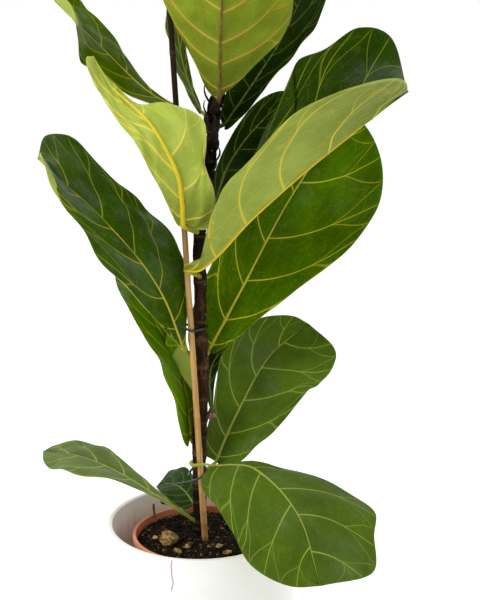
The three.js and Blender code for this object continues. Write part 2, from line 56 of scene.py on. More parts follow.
# Half outlines of a blade, from base to tip, without the two ends: hundredths of the length and of the half
# width. The first three blend into each other, and the rest are used as they are.
OUTLINES = {
    "wedge": [(-1, 7), (3, 18), (11, 29), (21, 41), (32, 56), (44, 75), (56, 92), (68, 100), (79, 95),
              (89, 74), (96.5, 40)],
    "fiddle": [(-4.5, 14), (-2, 36), (7, 50), (19, 56), (32, 60), (45, 72), (59, 88), (73, 99), (85, 97),
               (94, 76), (98.5, 42)],
    "full": [(-4, 18), (0, 42), (10, 60), (22, 71), (35, 80), (47, 89), (59, 97), (70, 100), (81, 94),
             (90, 74), (97, 40)],
    "round": [(2, 6), (6, 16), (11, 34), (19, 54), (28, 74), (40, 94), (53, 100), (67, 94), (77, 84),
              (88, 64), (96, 38)],
    "tipped": [(0, 5), (5, 8), (15, 10), (28, 12), (40, 14), (50, 20), (60, 38), (70, 64), (79, 87),
               (87, 100), (95, 75)],
    "lobed": [(-2, 30), (0, 60), (8, 70), (19, 70), (27, 61), (34, 66), (42, 96), (49, 90), (57, 60),
              (69, 34), (84, 20)],
    "strap": [(-1, 10), (0, 30), (8, 50), (18, 74), (30, 92), (45, 100), (60, 88), (72, 72), (82, 72),
              (91, 85), (98, 55)],
    "near": [(1, 8), (5, 14), (13, 14), (22, 28), (33, 50), (45, 70), (58, 82), (70, 95), (79, 100),
             (87, 76), (95, 40)],
    "far": [(3, 3), (9, 7), (18, 14), (30, 22), (43, 31), (56, 41), (66, 58), (75, 91), (85, 85), (97, 88),
            (105, 56)],
    "slack": [(2, 4), (8, 12), (16, 26), (25, 44), (35, 68), (46, 94), (58, 100), (69, 78), (79, 69),
              (89, 75), (99, 57)],
    "blunt": [(2, 5), (7, 16), (15, 30), (25, 53), (34, 86), (45, 108), (57, 100), (70, 95), (83, 98),
              (97, 90), (105, 48)],
    "early": [(0, 12), (1, 32), (9, 47), (20, 55), (31, 66), (43, 83), (55, 100), (66, 97), (77, 88),
              (87, 66), (96, 36)],
    "late": [(0, 5), (0, 12), (4, 17), (14, 18), (28, 22), (42, 34), (53, 58), (62, 92), (73, 100),
             (84, 77), (101, 58)],
    "stalked": [(0, 6), (5, 11), (14, 16), (24, 21), (34, 26), (44, 36), (53, 57), (63, 82), (74, 100),
                (86, 94), (96, 52)],
    "hung": [(-1, 14), (2, 38), (10, 62), (22, 78), (35, 87), (47, 93), (59, 98), (70, 100), (81, 94),
             (90, 74), (97, 40)],
    "lapped": [(-4, 22), (0, 50), (10, 74), (22, 90), (35, 96), (47, 94), (59, 82), (70, 64), (81, 46),
               (90, 31), (97, 17)],
    "waist": [(-4, 16), (-1, 38), (8, 54), (20, 62), (33, 66), (45, 71), (58, 80), (70, 90), (82, 88),
              (92, 70), (98, 40)],
    "fuller": [(-1, 7), (3, 18), (10, 29), (20, 42), (31, 60), (43, 79), (55, 95), (67, 100), (79, 95),
               (89, 76), (96, 44)],
    "even": [(-4, 22), (0, 50), (10, 72), (22, 88), (35, 95), (47, 95), (59, 90), (70, 88), (81, 84),
             (90, 68), (97, 38)],
    "broad": [(-2, 13), (1, 32), (10, 48), (22, 61), (35, 73), (47, 78), (59, 83), (71, 86), (83, 88),
              (94, 83), (102, 56)],
}

# Where side veins leave the midrib, as shares of its length, on the left and right halves.
VEINS = ((0.015, 0.1, 0.25, 0.42, 0.6, 0.78), (0.02, 0.13, 0.29, 0.47, 0.66, 0.84))
ROOT = 2.7
WAVE = (4, 3, 0.1)

# Leaves, top to bottom. petiole: points from inside the stem to the blade. rib: midrib from base to tip.
# face: where the upper side looks at base, middle and tip. width, shape, fold and curl: left half, then
# right half, seen from the base with the upper side up. shape: an outline, or 0 wedge to 1 fiddle to 2 full.
# fold and curl: degrees at base, middle and tip. veins: places of side veins, left and right. stout: how
# thick the midrib is. wave: height of the margin's waves, how many, and where they start. roll: a margin that
# turns over, as half, first and last share of the length, share of the width where it starts, and degrees.
# tone: its colours, by name.
LEAVES = {
    "leaf_top_front": dict(
        petiole=[(21, 2, 722)],
        rib=[(25, -8, 735), (26, -32, 790), (29, -52, 846), (32, -75, 925)],
        face=[(0, 1, 0.2), (0, 1, 0.15), (0, 1, 0.1)], width=(80, 73), shape=("round", 0),
        fold=2 * [(15, 12, 8)],
        veins=((0.05, 0.21, 0.34, 0.52, 0.7, 0.86), (0.05, 0.21, 0.34, 0.54, 0.7, 0.86)),
        stout=1.4, tone="backlit"),
    "leaf_top_right": dict(
        petiole=[(19, 5, 698)],
        rib=[(32, 14, 702), (67, 48, 749), (105, 78, 806), (134, 98, 873)],
        face=3 * [(-0.4, -0.75, 0.4)], width=(60, 38), shape=(0, 0.9),
        fold=2 * [(15, 12, 8)], tone="dark"),
    "leaf_top_back": dict(
        petiole=[(19, 4, 706)],
        rib=[(2, 26, 716), (-13, 44, 748), (-24, 60, 795), (-28, 76, 868)],
        face=3 * [(0.75, -0.6, 0.25)], width=(26, 12), shape=(2, 0.3),
        fold=2 * [(15, 15, 10)], wave=(3, 3, 0.1), tone="grey"),
    "leaf_upper_left": dict(
        petiole=[(16, 4, 690)],
        rib=[(0, 16, 706), (-64, 42, 739), (-113, 54, 785), (-167, 46, 840)],
        face=3 * [(0.62, -0.4, 0.68)], width=(60, 54), shape=(0, "tipped"),
        fold=[(5, 5, 5), (5, 0, -5)], wave=(4, 3, 0), roll=[(0, 0.64, 1.24, 0.2, 104)], tone="dusky"),
    "leaf_back_right": dict(
        petiole=[(2, 4, 585)],
        rib=[(17, 17, 600), (36, 78, 645), (75, 132, 688), (116, 170, 715)],
        face=[(0.05, -0.9, 0.5), (0.1, -0.9, 0.55), (0.1, -0.9, 0.6)], width=(21, 44), shape=(1, 0),
        fold=[(15, 10, 5), (0, -10, -10)], tone="dark"),
    "leaf_front_left": dict(
        petiole=[(-1, 4, 575), (-5, -17, 581)],
        rib=[(-16, -31, 591), (-21, -61, 653), (-46, -72, 708), (-80, -50, 732), (-118, -14, 782)],
        face=[(0.2, 1, 0), (-0.2, 0.95, -0.3), (-0.52, 0.2, -0.85)], width=(54, 28),
        shape=("lobed", "strap"), fold=[(0, 5, 40), (0, -5, -10)], wave=(4, 3, 0.3),
        veins=((0.03, 0.2, 0.38, 0.6, 0.8), (0.04, 0.15, 0.3, 0.5, 0.72)), stout=1.8, tone="young"),
    "leaf_folded_right": dict(
        petiole=[(0, 4, 520), (0, -16, 527)],
        rib=[(-16, -24, 536), (10, -32, 544), (60, -46, 600), (122, -60, 659), (185, -50, 708),
             (238, -25, 743)],
        face=[(-0.6, -0.1, 0.8), (-0.5, -0.1, 0.85), (-0.3, -0.1, 0.95)], width=(108, 115),
        shape=("far", "near"), fold=[(65, 60, 80), (60, 50, 30)], wave=(5, 3, 0.1), tone="folded"),
    "leaf_big_right": dict(
        petiole=[(1, 4, 412)],
        rib=[(12, 12, 428), (51, 42, 496), (115, 72, 612), (182, 78, 712)],
        face=[(-0.2, -0.9, 0.4), (-0.15, -0.9, 0.45), (-0.1, -0.9, 0.5)], width=(74, 101),
        shape=("waist", "fuller"), fold=[(15, 28, 20), (15, 10, 5)], curl=[(0, 0, 0), (0, -10, -10)],
        veins=((0.02, 0.12, 0.26, 0.43, 0.64, 0.84), (0.02, 0.12, 0.28, 0.45, 0.68, 0.86)), tone="mature"),
    "leaf_long_left": dict(
        petiole=[(1, 4, 415), (-6, -1, 422)],
        rib=[(-19, -15, 437), (-46, -37, 517), (-101, -46, 594), (-182, -30, 668)],
        face=[(0.35, -0.85, 0.35), (0.72, -0.4, 0.55), (0.6, -0.45, 0.65)], width=(66, 78),
        shape=("slack", "blunt"), fold=[(8, 8, 5), (-4, 4, 5)], curl=2 * [(0, -5, -5)], wave=(3, 3, 0.1),
        roll=[(0, 0.7, 1.24, 0.3, 108)], tone="glossy"),
    "leaf_middle_back": dict(
        petiole=[(0, 3, 324)],
        rib=[(13, 22, 350), (11, 92, 377), (30, 130, 396), (48, 162, 414)],
        face=[(0.1, -0.9, 0.5), (0.1, -0.9, 0.55), (0.1, -0.9, 0.6)], width=(16, 12), shape=(0, 0),
        fold=[(15, 10, 5), (0, -15, -15)], wave=(4, 4, 0.1), tone="dark"),
    "leaf_lower_left": dict(
        petiole=[(-2, 3, 302)],
        rib=[(-13, 8, 316), (-20, 22, 379), (-48, 38, 441), (-100, 45, 529)],
        face=[(0.75, -0.35, 0.5), (0.72, -0.38, 0.5), (0.7, -0.4, 0.5)], width=(52, 58),
        shape=("even", 0.5), fold=[(15, 12, 8), (20, 15, 8)], curl=[(0, 0, 0), (40, 20, 0)], wave=(2, 3, 0.1),
        roll=[(1, 0.02, 0.58, 0.24, 205)], tone="bright_green"),
    "leaf_drooping": dict(
        petiole=[(-2, 3, 284), (-11, -2, 287), (-8, -19, 290), (3, -23, 293)],
        rib=[(18, -32, 296), (66, -90, 314), (114, -150, 283), (138, -190, 215)],
        face=[(0.1, -0.5, 0.9), (0.2, -0.75, 0.65), (0.3, -0.9, 0.4)], width=(110, 76),
        shape=("late", "hung"), fold=[(-25, -22, 10), (-5, -5, -5)], curl=2 * [(0, -20, -20)],
        veins=((0.08, 0.3, 0.5, 0.66, 0.84), (0.04, 0.2, 0.36, 0.6, 0.82)), stout=0.6, tone="grey"),
    "leaf_middle_right": dict(
        petiole=[(-2, 2, 266)],
        rib=[(19, 12, 283), (43, 48, 329), (84, 78, 396), (135, 90, 438)],
        face=[(-0.2, -0.9, 0.5), (-0.15, -0.9, 0.55), (-0.1, -0.9, 0.6)], width=(52, 82),
        shape=("early", "broad"), fold=[(25, 28, 20), (15, 10, 5)],
        veins=((0.03, 0.16, 0.35, 0.56, 0.78), (0.03, 0.18, 0.4, 0.62, 0.82)), tone="grey"),
    "leaf_low_back": dict(
        petiole=[(-2, 2, 214)],
        rib=[(-9, 14, 225), (-22, 34, 235), (-38, 50, 238), (-57, 62, 231)],
        face=[(0.1, -0.5, 0.8), (0.1, -0.4, 0.85), (0.1, -0.3, 0.9)], width=(37, 30), shape=("lapped", 0.5),
        fold=[(0, 0, 5), (15, 10, 5)], wave=(3, 3, 0.1), tone="shaded"),
    "leaf_low_left": dict(
        petiole=[(-2, 1, 205)],
        rib=[(-15, -8, 219), (-60, -10, 251), (-111, 0, 279), (-155, 8, 293), (-195, 12, 296)],
        face=[(0.35, -0.05, 0.95), (0.3, -0.05, 0.95), (0.2, -0.05, 0.95)],
        width=(55, 45), shape=("stalked", "stalked"),
        fold=2 * [(15, 8, 0)], curl=2 * [(0, -5, -5)], wave=(3, 3, 0.1), tone="pale_sheen"),
}

# Wire ties: from the free tail, round the cane and the stem, back to the twist.
TIES = {
    "tie_upper": [(-25, -30, 472), (-17, -25, 466), (-9, -18.3, 460), (1, -9, 459), (8.4, 2, 459),
                  (6.5, 10, 459), (-1, 13, 460), (-8, 9, 461), (-14, -2, 463), (-16, -12, 467)],
    "tie_lower": [(-29, -10, 262), (-16, -19, 268), (-3, -20.5, 273), (6, -16, 276), (9, -3, 277),
                  (6.5, 6.5, 277), (-2, 11.5, 276), (-10.5, 7, 275), (-13.5, -3, 273), (-14, -13, 274)],
}
TIE_RADIUS = 1.1

# Bark chips on the mix: x, y, turn in degrees, length, width, height.
CHIPS = [
    (-38, -27, 35, 27, 19, 19), (-56, -8, 100, 13, 9, 6), (-44, 6, 20, 12, 8, 6), (-27, -48, 150, 17, 10, 7),
    (24, -36, 60, 14, 9, 7), (34, -52, 10, 12, 9, 6), (-16, -36, 120, 10, 7, 5), (52, 12, 75, 16, 11, 7),
]


# ---- Materials ----
def paint(code):
    """A hexadecimal colour as linear red, green, blue and alpha."""
    values = [int(code[k:k + 2], 16) / 255 for k in (0, 2, 4)]
    return tuple(v / 12.92 if v <= 0.04045 else ((v + 0.055) / 1.055) ** 2.4 for v in values) + (1.0,)


class Nodes:
    """A node tree under construction, with short calls for its nodes."""

    def __init__(self, tree, place):
        self.nodes = tree.nodes
        self.links = tree.links
        self.place = self.add("TexCoord", {}, place)

    def fill(self, socket, value):
        if isinstance(value, bpy.types.NodeSocket):
            self.links.new(value, socket)
        elif value is not None:
            socket.default_value = value

    def add(self, kind, values, output=0, **settings):
        """One output of a new node. values: its inputs, by name or number."""
        node = self.nodes.new(f"ShaderNode{kind}")
        for key, value in settings.items():
            setattr(node, key, value)
        for key, value in values.items():
            self.fill(node.inputs[key], value)
        return node.outputs[output]

    def math(self, operation, a, b=None):
        return self.add("Math", {0: a, 1: b}, operation=operation)

    def times(self, a, b):
        return self.math("MULTIPLY", a, b)

    def plus(self, a, b):
        return self.math("ADD", a, b)

    def minus(self, a, b):
        return self.math("SUBTRACT", a, b)

    def remap(self, value, low, high, start=0.0, end=1.0, kind="SMOOTHSTEP"):
        values = dict(enumerate((value, low, high, start, end)))
        return self.add("MapRange", values, interpolation_type=kind)

    def mix(self, share, a, b):
        return self.add("Mix", {0: share, 6: a, 7: b}, 2, data_type="RGBA")

    def over(self, ground, code, value, low, high, most=1.0):
        """A ground that goes over to a colour, up to the share most, as the value goes from low to high."""
        ground = paint(ground) if isinstance(ground, str) else ground
        return self.mix(self.remap(value, low, high, 0.0, most), ground, paint(code))

    def stretch(self, scale):
        return self.add("Mapping", {"Vector": self.place, "Scale": scale})

    def noise(self, scale, detail=3.0, vector=None, rough=0.55):
        values = {"Vector": vector or self.place, "Scale": scale, "Detail": detail, "Roughness": rough}
        return self.add("TexNoise", values)

    def cells(self, scale, vector=None, feature="DISTANCE_TO_EDGE"):
        values = {"Vector": vector or self.place, "Scale": scale}
        return self.add("TexVoronoi", values, "Distance", feature=feature)

    def attribute(self, name):
        return self.add("Attribute", {}, "Fac", attribute_name=name)

    def vector(self, x, y, z):
        return self.add("CombineXYZ", {0: x, 1: y, 2: z})

    def axis(self, k):
        return self.add("SeparateXYZ", {0: self.place}, k)


class Finish(Nodes):
    """A material under construction."""

    def __init__(self, name, roughness=0.5, specular=0.5):
        self.material = bpy.data.materials.new(name)
        self.material.use_nodes = True
        super().__init__(self.material.node_tree, "Object")
        self.surface = self.nodes["Principled BSDF"].inputs
        self.surface["Roughness"].default_value = roughness
        self.surface["Specular IOR Level"].default_value = specular

    def color(self, value):
        self.fill(self.surface["Base Color"], value)

    def rough(self, value):
        self.fill(self.surface["Roughness"], value)

    def bump(self, height, distance):
        self.fill(self.surface["Normal"], self.add("Bump", {"Height": height, "Distance": distance}))


# Tones of the leaves: blade, lighter blade and vein colours above, the same below, the midrib, the petiole,
# the shine of dull and waxy patches above, and how much painted shade darkens the underside at its tip.
UNDER = ("86993e", "a4b556", "b8ac40")
TONES = {
    "mature": dict(up=("2a4900", "426902", "bcb02a"), rib="b4ac30", stalk="3a2a12", shine=(0.0, 0.11)),
    # a lighter green blade than mature
    "bright_green": dict(up=("446e00", "5c8a02", "c6ba30"), down=("86993c", "a4b550", "b8ac40"), rib="bcb430",
                  stalk="3a2a12", shine=(0.0, 0.12)),
    # pale: a lighter, greyer blade, partly the leaf's colour and partly a painted whitish sheen, besides its
    # real shine
    "pale_sheen": dict(up=("465a18", "5e7428", "a0ac50"), rib="96a248",
                 stalk="8a9634", shine=(0.15, 0.5)),
    "shaded": dict(up=("1a2e08", "284010", "4e602a"), down=("7d9146", "97a85a", "aaa444"), rib="5a6a30",
                   stalk="5a6a30", shine=(0.04, 0.24)),
    "dusky": dict(up=("324a00", "456200", "a09c22"), rib="a09c28", stalk="3a2a12", shine=(0.0, 0.05)),
    "glossy": dict(up=("223e00", "345802", "a2a02a"), rib="b4ac30", stalk="3a2a12", shine=(0.01, 0.2)),
    "grey": dict(up=("384e0a", "4c6610", "929e40"), rib="8c9840",
                 stalk="8a9634", shine=(0.04, 0.22)),
    # dark: blade and midrib near black as painted shade, for leaves that lie behind others
    "dark": dict(up=("0a1600", "172c00", "46561a"), down=("7d9146", "97a85a", "aaa444"), rib="26320c",
                 stalk="1c1408", shine=(0.0, 0.03)),
    "young": dict(up=("214a02", "376a06", "8f9a1e"), down=("8fa436", "b0c056", "dfce50"), rib="dcc428",
                  stalk="8a8a30", shine=(0.05, 0.2)),
    "folded": dict(up=("182e00", "264300", "8a981e"), down=("7f9136", "9cac4c", "d2bc30"), rib="d2bc2c",
                   stalk="34400f", shine=(0.03, 0.5), tip_shade=0.9),
    "backlit": dict(up=("3b6210", "5a7f1c", "a08a2c"), down=("5c7006", "81951c", "bc9c3a"), rib="5c4416",
                    stalk="33240e", shine=(0.05, 0.2)),
}
RIB_WIDTH = 1.7
VEIN_WIDTH = 0.8


def leaf_side(name, look, above):
    """The upper or lower skin of a blade: side veins, cross veins and fine network, over a mottled ground."""
    ground, light, vein = (paint(c) for c in (look["up"] if above else look.get("down", UNDER)))
    f = Finish(name, roughness=0.42 if above else 0.6, specular=0.22 if above else 0.15)
    phase, pitch = f.attribute("phase"), f.attribute("pitch")
    reach, off, run = f.attribute("reach"), f.attribute("off"), f.attribute("run")
    near = f.math("ABSOLUTE", f.minus(f.math("FRACT", f.plus(phase, 0.5)), 0.5))
    gap = f.times(near, pitch)
    bold = 1.0 if above else 1.6
    wide = f.remap(reach, 0.0, 1.0, bold * VEIN_WIDTH, bold * 0.35)
    side = f.remap(f.math("DIVIDE", gap, wide), 1.5, 0.4)
    fork_at = f.remap(reach, 0.62, 1.04, 0.0, 0.5)
    fork_gap = f.times(f.math("ABSOLUTE", f.minus(near, fork_at)), pitch)
    fork = f.times(f.remap(fork_gap, 0.9, 0.2), f.remap(reach, 0.6, 0.7, 0.0, 0.7))
    rib = f.remap(f.math("DIVIDE", off, f.remap(run, 0.0, 1.0, RIB_WIDTH, 0.4)), 1.4, 0.7)
    main = f.math("MAXIMUM", side, rib)
    warp = f.noise(60.0, 2.0)
    across = f.vector(
        f.plus(f.times(phase, 1.7), f.times(warp, 0.9)),
        f.plus(f.times(off, 0.09), f.times(warp, 0.9)), 0.0)
    cross = f.remap(f.cells(1.0, across), 0.05, 0.0)
    net = f.remap(f.cells(330.0), 0.1, 0.0)
    mottle = f.noise(22.0, 4.0)
    halo = f.times(f.remap(gap, 7.0, 0.0), 0.35)
    tint = f.mix(f.remap(mottle, 0.2, 0.9), ground, light)
    tint = f.mix(halo, tint, light)
    if not above:
        tint = f.over(tint, "4f5a0c", run, 0.32, 0.0, 0.4)
        # painted shade: the underside turns darker olive towards its tip, by the tone's share
        tint = f.over(tint, "566a0e", run, 0.4, 0.95, look.get("tip_shade", 0.0))
    tint = f.mix(f.times(net, 0.08 if above else 0.12), tint, vein)
    tint = f.mix(f.times(cross, 0.07 if above else 0.2), tint, vein)
    tint = f.mix(f.times(fork, 0.6), tint, vein)
    tint = f.mix(f.times(main, 0.85), tint, vein)
    tint = f.mix(f.remap(reach, 0.965, 0.995, 0.0, 0.7), tint, light)
    speck = f.remap(f.noise(420.0, 1.0), 0.76, 0.79, 0.0, 0.45)
    f.color(f.mix(speck, tint, paint("a8b08a") if above else paint("6f6a35")))
    sign = -1.0 if above else 1.0
    lines = f.plus(f.times(cross, 0.5), f.times(net, 0.3))
    lines = f.plus(lines, f.times(fork, 0.8))
    relief = f.plus(f.times(lines, sign), f.times(f.noise(900.0, 2.0), 0.25))
    f.bump(relief, 0.00035)
    if above:
        wax = f.remap(f.noise(9.0, 6.0, rough=0.62), 0.44, 0.66)
        f.rough(f.remap(wax, 0.0, 1.0, 0.48, 0.33))
        f.fill(f.surface["Specular IOR Level"], f.remap(wax, 0.0, 1.0, *look["shine"]))
    else:
        f.rough(f.remap(f.noise(80.0, 2.0), 0.3, 0.7, 0.55, 0.68))
    return f.material


def rib_finish(name, colour, stalk):
    """Petiole and midrib: fibrous, with the stalk's own colour by the stem."""
    f = Finish(name, roughness=0.5, specular=0.2)
    run = f.attribute("run")
    fibre = f.noise(9.0, 3.0, f.stretch((40, 40, 4)))
    tone = f.over(colour, "a39f38", fibre, 0.3, 0.7, 0.35)
    f.color(f.over(tone, stalk, run, 0.05, -0.1, 0.85))
    f.bump(fibre, 0.0002)
    return f.material


_tones = {}


def leaf_finishes(tone):
    if tone not in _tones:
        look = TONES[tone]
        _tones[tone] = [
            leaf_side(f"leaf_{tone}_upper", look, True),
            leaf_side(f"leaf_{tone}_under", look, False),
            rib_finish(f"leaf_{tone}_rib", look["rib"], look["stalk"]),
        ]
    return _tones[tone]


# ---- Mesh helpers ----
def spline(points, u):
    """Points at shares u of a smooth curve's parameter, through the given points."""
    points = np.asarray(points, float)
    spans = len(points) - 1
    ends = np.vstack([2 * points[0] - points[1], points, 2 * points[-1] - points[-2]])
    u = np.clip(u, 0, 1) * spans
    i = np.minimum(u.astype(int), spans - 1)
    w = (u - i)[:, None]
    a, b, c, d = ends[i], ends[i + 1], ends[i + 2], ends[i + 3]
    return 0.5 * (2 * b + (c - a) * w + (2 * a - 5 * b + 4 * c - d) * w**2 + (3 * b - a - 3 * c + d) * w**3)


def hill(x, width):
    return np.exp(-((x / width) ** 2))


def circle(radius, steps):
    """Places x, y round the axis."""
    turns = (math.tau * k / steps for k in range(steps))
    return [(radius * math.cos(turn), radius * math.sin(turn)) for turn in turns]


def evenly(points, count):
    """count points at even distances along a smooth curve."""
    dense = spline(points, np.linspace(0, 1, 400))
    run = np.concatenate([[0], np.cumsum(np.linalg.norm(np.diff(dense, axis=0), axis=1))])
    at = np.linspace(0, run[-1], count)
    return np.stack([np.interp(at, run, dense[:, k]) for k in range(3)], -1)


def unit(v):
    return v / np.maximum(np.linalg.norm(v, axis=-1, keepdims=True), 1e-12)


def tube(path, radius, sides):
    """Vertices and faces of a closed tube. radius is one number, one for each point, or rows of sides."""
    path = np.asarray(path, float)
    count = len(path)
    radius = np.asarray(radius, float)
    if radius.ndim < 2:
        radius = np.broadcast_to(radius[..., None] if radius.ndim else radius, (count, sides))
    ahead = unit(np.gradient(path, axis=0))
    up = np.array([0.13, 1.0, 0.21])
    rings = []
    for i in range(count):
        up = up - ahead[i] * np.dot(up, ahead[i])
        up /= np.linalg.norm(up)
        other = np.cross(ahead[i], up)
        turn = np.arange(sides) * 2 * np.pi / sides
        ring = np.cos(turn)[:, None] * up + np.sin(turn)[:, None] * other
        rings.append(path[i] + ring * radius[i][:, None])
    vertices = np.concatenate([path[:1]] + rings + [path[-1:]])
    return vertices, skin_faces(count, sides)


def per_ring(values, sides, first, last):
    """A value for each vertex of a tube, from one for each of its rings."""
    return np.concatenate([[first], np.repeat(values, sides), [last]])


def corner_list(values, faces):
    return np.concatenate([[values[k] for k in face] for face in faces])


def skin_faces(rings, sides, from_top=False):
    """Faces of a closed skin: a first point, rings of points, and a last point."""
    last = 1 + rings * sides
    faces = []
    for j in range(sides):
        k = (j + 1) % sides
        faces.append((0, 1 + k, 1 + j))
        for i in range(rings - 1):
            a, b = 1 + i * sides + j, 1 + i * sides + k
            faces.append((a, b, b + sides, a + sides))
        faces.append((last - sides + j, last - sides + k, last))
    return [flipped(face) for face in faces] if from_top else faces


def flipped(face):
    return (face[0], *face[:0:-1])


def sheet_faces(rows, cols):
    """Faces of a thin sheet whose lower points come after its upper ones: upper, lower and rim."""
    i, j = (k.ravel() for k in np.meshgrid(np.arange(rows - 1), np.arange(cols - 1), indexing="ij"))
    a = i * cols + j
    upper = np.stack([a, a + 1, a + 1 + cols, a + cols], -1)
    loop = np.concatenate([
        np.arange(cols - 1), np.arange(rows - 1) * cols + cols - 1,
        (rows - 1) * cols + np.arange(cols - 1, 0, -1), np.arange(rows - 1, 0, -1) * cols])
    ahead = np.roll(loop, -1)
    count = rows * cols
    rim = np.stack([loop, loop + count, ahead + count, ahead], -1)
    return upper, upper[:, ::-1] + count, rim


def lathe(profile, steps, wobble=None):
    """Vertices and faces of a turned form; its first and last points lie on the axis."""
    vertices = [(0.0, 0.0, profile[0][1])]
    ring = profile[1:-1]
    for r, z in ring:
        for j in range(steps):
            turn = 2 * math.pi * j / steps
            out = r + (wobble(turn, z) if wobble else 0.0)
            vertices.append((out * math.cos(turn), out * math.sin(turn), z))
    vertices.append((0.0, 0.0, profile[-1][1]))
    return np.array(vertices), skin_faces(len(ring), steps)


def rounded(profile, radius, steps=4):
    """The profile with each inner corner turned into an arc, where radius is not 0."""
    out = [profile[0][:2]]
    for k in range(1, len(profile) - 1):
        before, here, after = (np.array(profile[k + d][:2], float) for d in (-1, 0, 1))
        size = profile[k][2] if len(profile[k]) > 2 else radius
        size = min(size, 0.48 * np.linalg.norm(here - before), 0.48 * np.linalg.norm(after - here))
        a, b = here + unit(before - here) * size, here + unit(after - here) * size
        for w in np.linspace(0, 1, steps + 1):
            point = a * (1 - w) ** 2 + here * 2 * w * (1 - w) + b * w**2
            out.append((float(point[0]), float(point[1])))
    out.append(profile[-1][:2])
    return out


def placed(name, data):
    """A new object in the scene."""
    thing = bpy.data.objects.new(name, data)
    bpy.context.scene.collection.objects.link(thing)
    return thing


def make(name, vertices, faces, materials, nodes=(), which=None, corners=None, flat=False):
    """One piece of the plant, from millimetres. which: each face's material. corners: values per corner."""
    mesh = bpy.data.meshes.new(name)
    mesh.from_pydata((np.asarray(vertices) * MM).tolist(), [], [tuple(map(int, f)) for f in faces])
    for material in materials:
        mesh.materials.append(material)
    if which is not None:
        mesh.polygons.foreach_set("material_index", np.asarray(which, np.int32))
    for key, values in (corners or {}).items():
        layer = mesh.attributes.new(key, "FLOAT", "CORNER")
        layer.data.foreach_set("value", np.asarray(values, np.float32))
    mesh.polygons.foreach_set("use_smooth", np.full(len(mesh.polygons), not flat))
    mesh.update()
    piece = placed(name, mesh)
    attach(piece, BODY)
    for node in nodes:
        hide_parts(node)
    return piece


# ---- Leaves ----
def along(values, s):
    """A value at share s of the length, from values at base, middle and tip."""
    base, middle, tip = values
    return base * (1 - s) * (1 - 2 * s) + 4 * middle * s * (1 - s) + tip * s * (2 * s - 1)


def outline(shape):
    """Points of a half outline. A number blends wedge (0), fiddle (1) and full (2)."""
    if isinstance(shape, str):
        inner = np.array(OUTLINES[shape], float)
    else:
        low, high = ("wedge", "fiddle") if shape <= 1 else ("fiddle", "full")
        low, high = np.array(OUTLINES[low], float), np.array(OUTLINES[high], float)
        inner = low + (high - low) * (shape if shape <= 1 else shape - 1)
    return np.vstack([(0, 0), inner / 100, (1, 0)])


def blade(spec, q, t):
    """The blade's middle surface over rows q and columns t: points, normals, distance sideways, run, length."""
    dense = spline(spec["rib"], np.linspace(0, 1, 400))
    travel = np.concatenate([[0], np.cumsum(np.linalg.norm(np.diff(dense, axis=0), axis=1))])
    length = travel[-1]
    a = np.abs(t)[None, :]
    right = (t > 0)[None, :]

    def both(pair):
        return np.where(right, pair[1], pair[0]).astype(float)

    margins = [spline(outline(k), q) for k in spec["shape"]]
    mx = np.where(right, margins[1][:, :1], margins[0][:, :1])
    my = np.where(right, margins[1][:, 1:2], margins[0][:, 1:2])
    root = (q**ROOT)[:, None]
    x = root + (mx - root) * (0.4 * a + 0.6 * a**2.6)
    wide = both(spec["width"])
    v = my * a * wide
    s = np.clip(x, 0, 1)

    def at(rows):
        return np.stack([np.interp(s * length, travel, rows[:, k]) for k in range(3)], -1)

    tangent = unit(at(unit(np.gradient(dense, axis=0))))
    centre = at(dense) + tangent * ((x - s) * length)[..., None]
    face = along([unit(np.array(k, float)) for k in spec["face"]], s[..., None])
    up = unit(face - tangent * np.sum(face * tangent, -1, keepdims=True))
    out = np.cross(tangent, up)
    still = [(0, 0, 0), (0, 0, 0)]
    fold, curl = (
        np.radians(np.where(right, along(pair[1], s), along(pair[0], s)))
        for pair in (spec["fold"], spec.get("curl", still))
    )
    curl = np.where(np.abs(curl) < 1e-4, 1e-4, curl)
    rate = curl / wide
    angle = fold + rate * v
    side = (np.sin(angle) - np.sin(fold)) / rate
    rise = (np.cos(fold) - np.cos(angle)) / rate
    sign = np.sign(t)[None, :]
    high, count, start = spec.get("wave", WAVE)
    swing = high * (v / max(spec["width"])) ** 2
    rise = rise + swing * np.sin(2 * np.pi * (count * x + start + 0.25 * sign))
    for half, first, last, begin, turn in spec.get("roll", ()):
        mine = right if half == 1 else t[None, :] < 0
        band = np.clip((s - first) / (last - first), 0, 1)
        outer = np.clip(1.6 * (a - begin) / (1 - begin), 0, 1)
        share = np.sin(np.pi * band) ** 1.2 * np.sin(0.5 * np.pi * outer) * mine
        extra = np.radians(turn) * share
        side = side + gathered(np.cos(angle + extra) - np.cos(angle), v, t)
        rise = rise + gathered(np.sin(angle + extra) - np.sin(angle), v, t)
        angle = angle + extra
    points = centre + out * (sign * side)[..., None] + up * rise[..., None]
    normal = up * np.cos(angle)[..., None] - out * (sign * np.sin(angle))[..., None]
    return points, unit(normal), v, x, length


def gathered(slope, v, t):
    """The sum of slope over lateral distance v, outwards from the midrib on both halves."""
    middle = len(t) // 2
    total = np.zeros_like(v)
    for cols in (range(middle + 1, len(t)), range(middle - 1, -1, -1)):
        last = middle
        for j in cols:
            total[:, j] = total[:, last] + 0.5 * (slope[:, j] + slope[:, last]) * (v[:, j] - v[:, last])
            last = j
    return total


def vein_rows(spec):
    """Row places: an even spread, and close rows at each side vein."""
    lists = [np.array(side) ** (1 / ROOT) for side in spec.get("veins", VEINS)]
    rows = list(np.linspace(0.012, 0.9995, 76))
    for side in lists:
        for vein in side:
            rows += [vein + d for d in (-0.013, -0.0075, -0.0035, 0, 0.0035, 0.0075, 0.013)]
    rows = sorted(r for r in rows if 0.012 <= r <= 0.9995)
    kept = [rows[0]]
    for r in rows[1:]:
        if r - kept[-1] > 0.0018:
            kept.append(r)
    return np.array(kept), lists


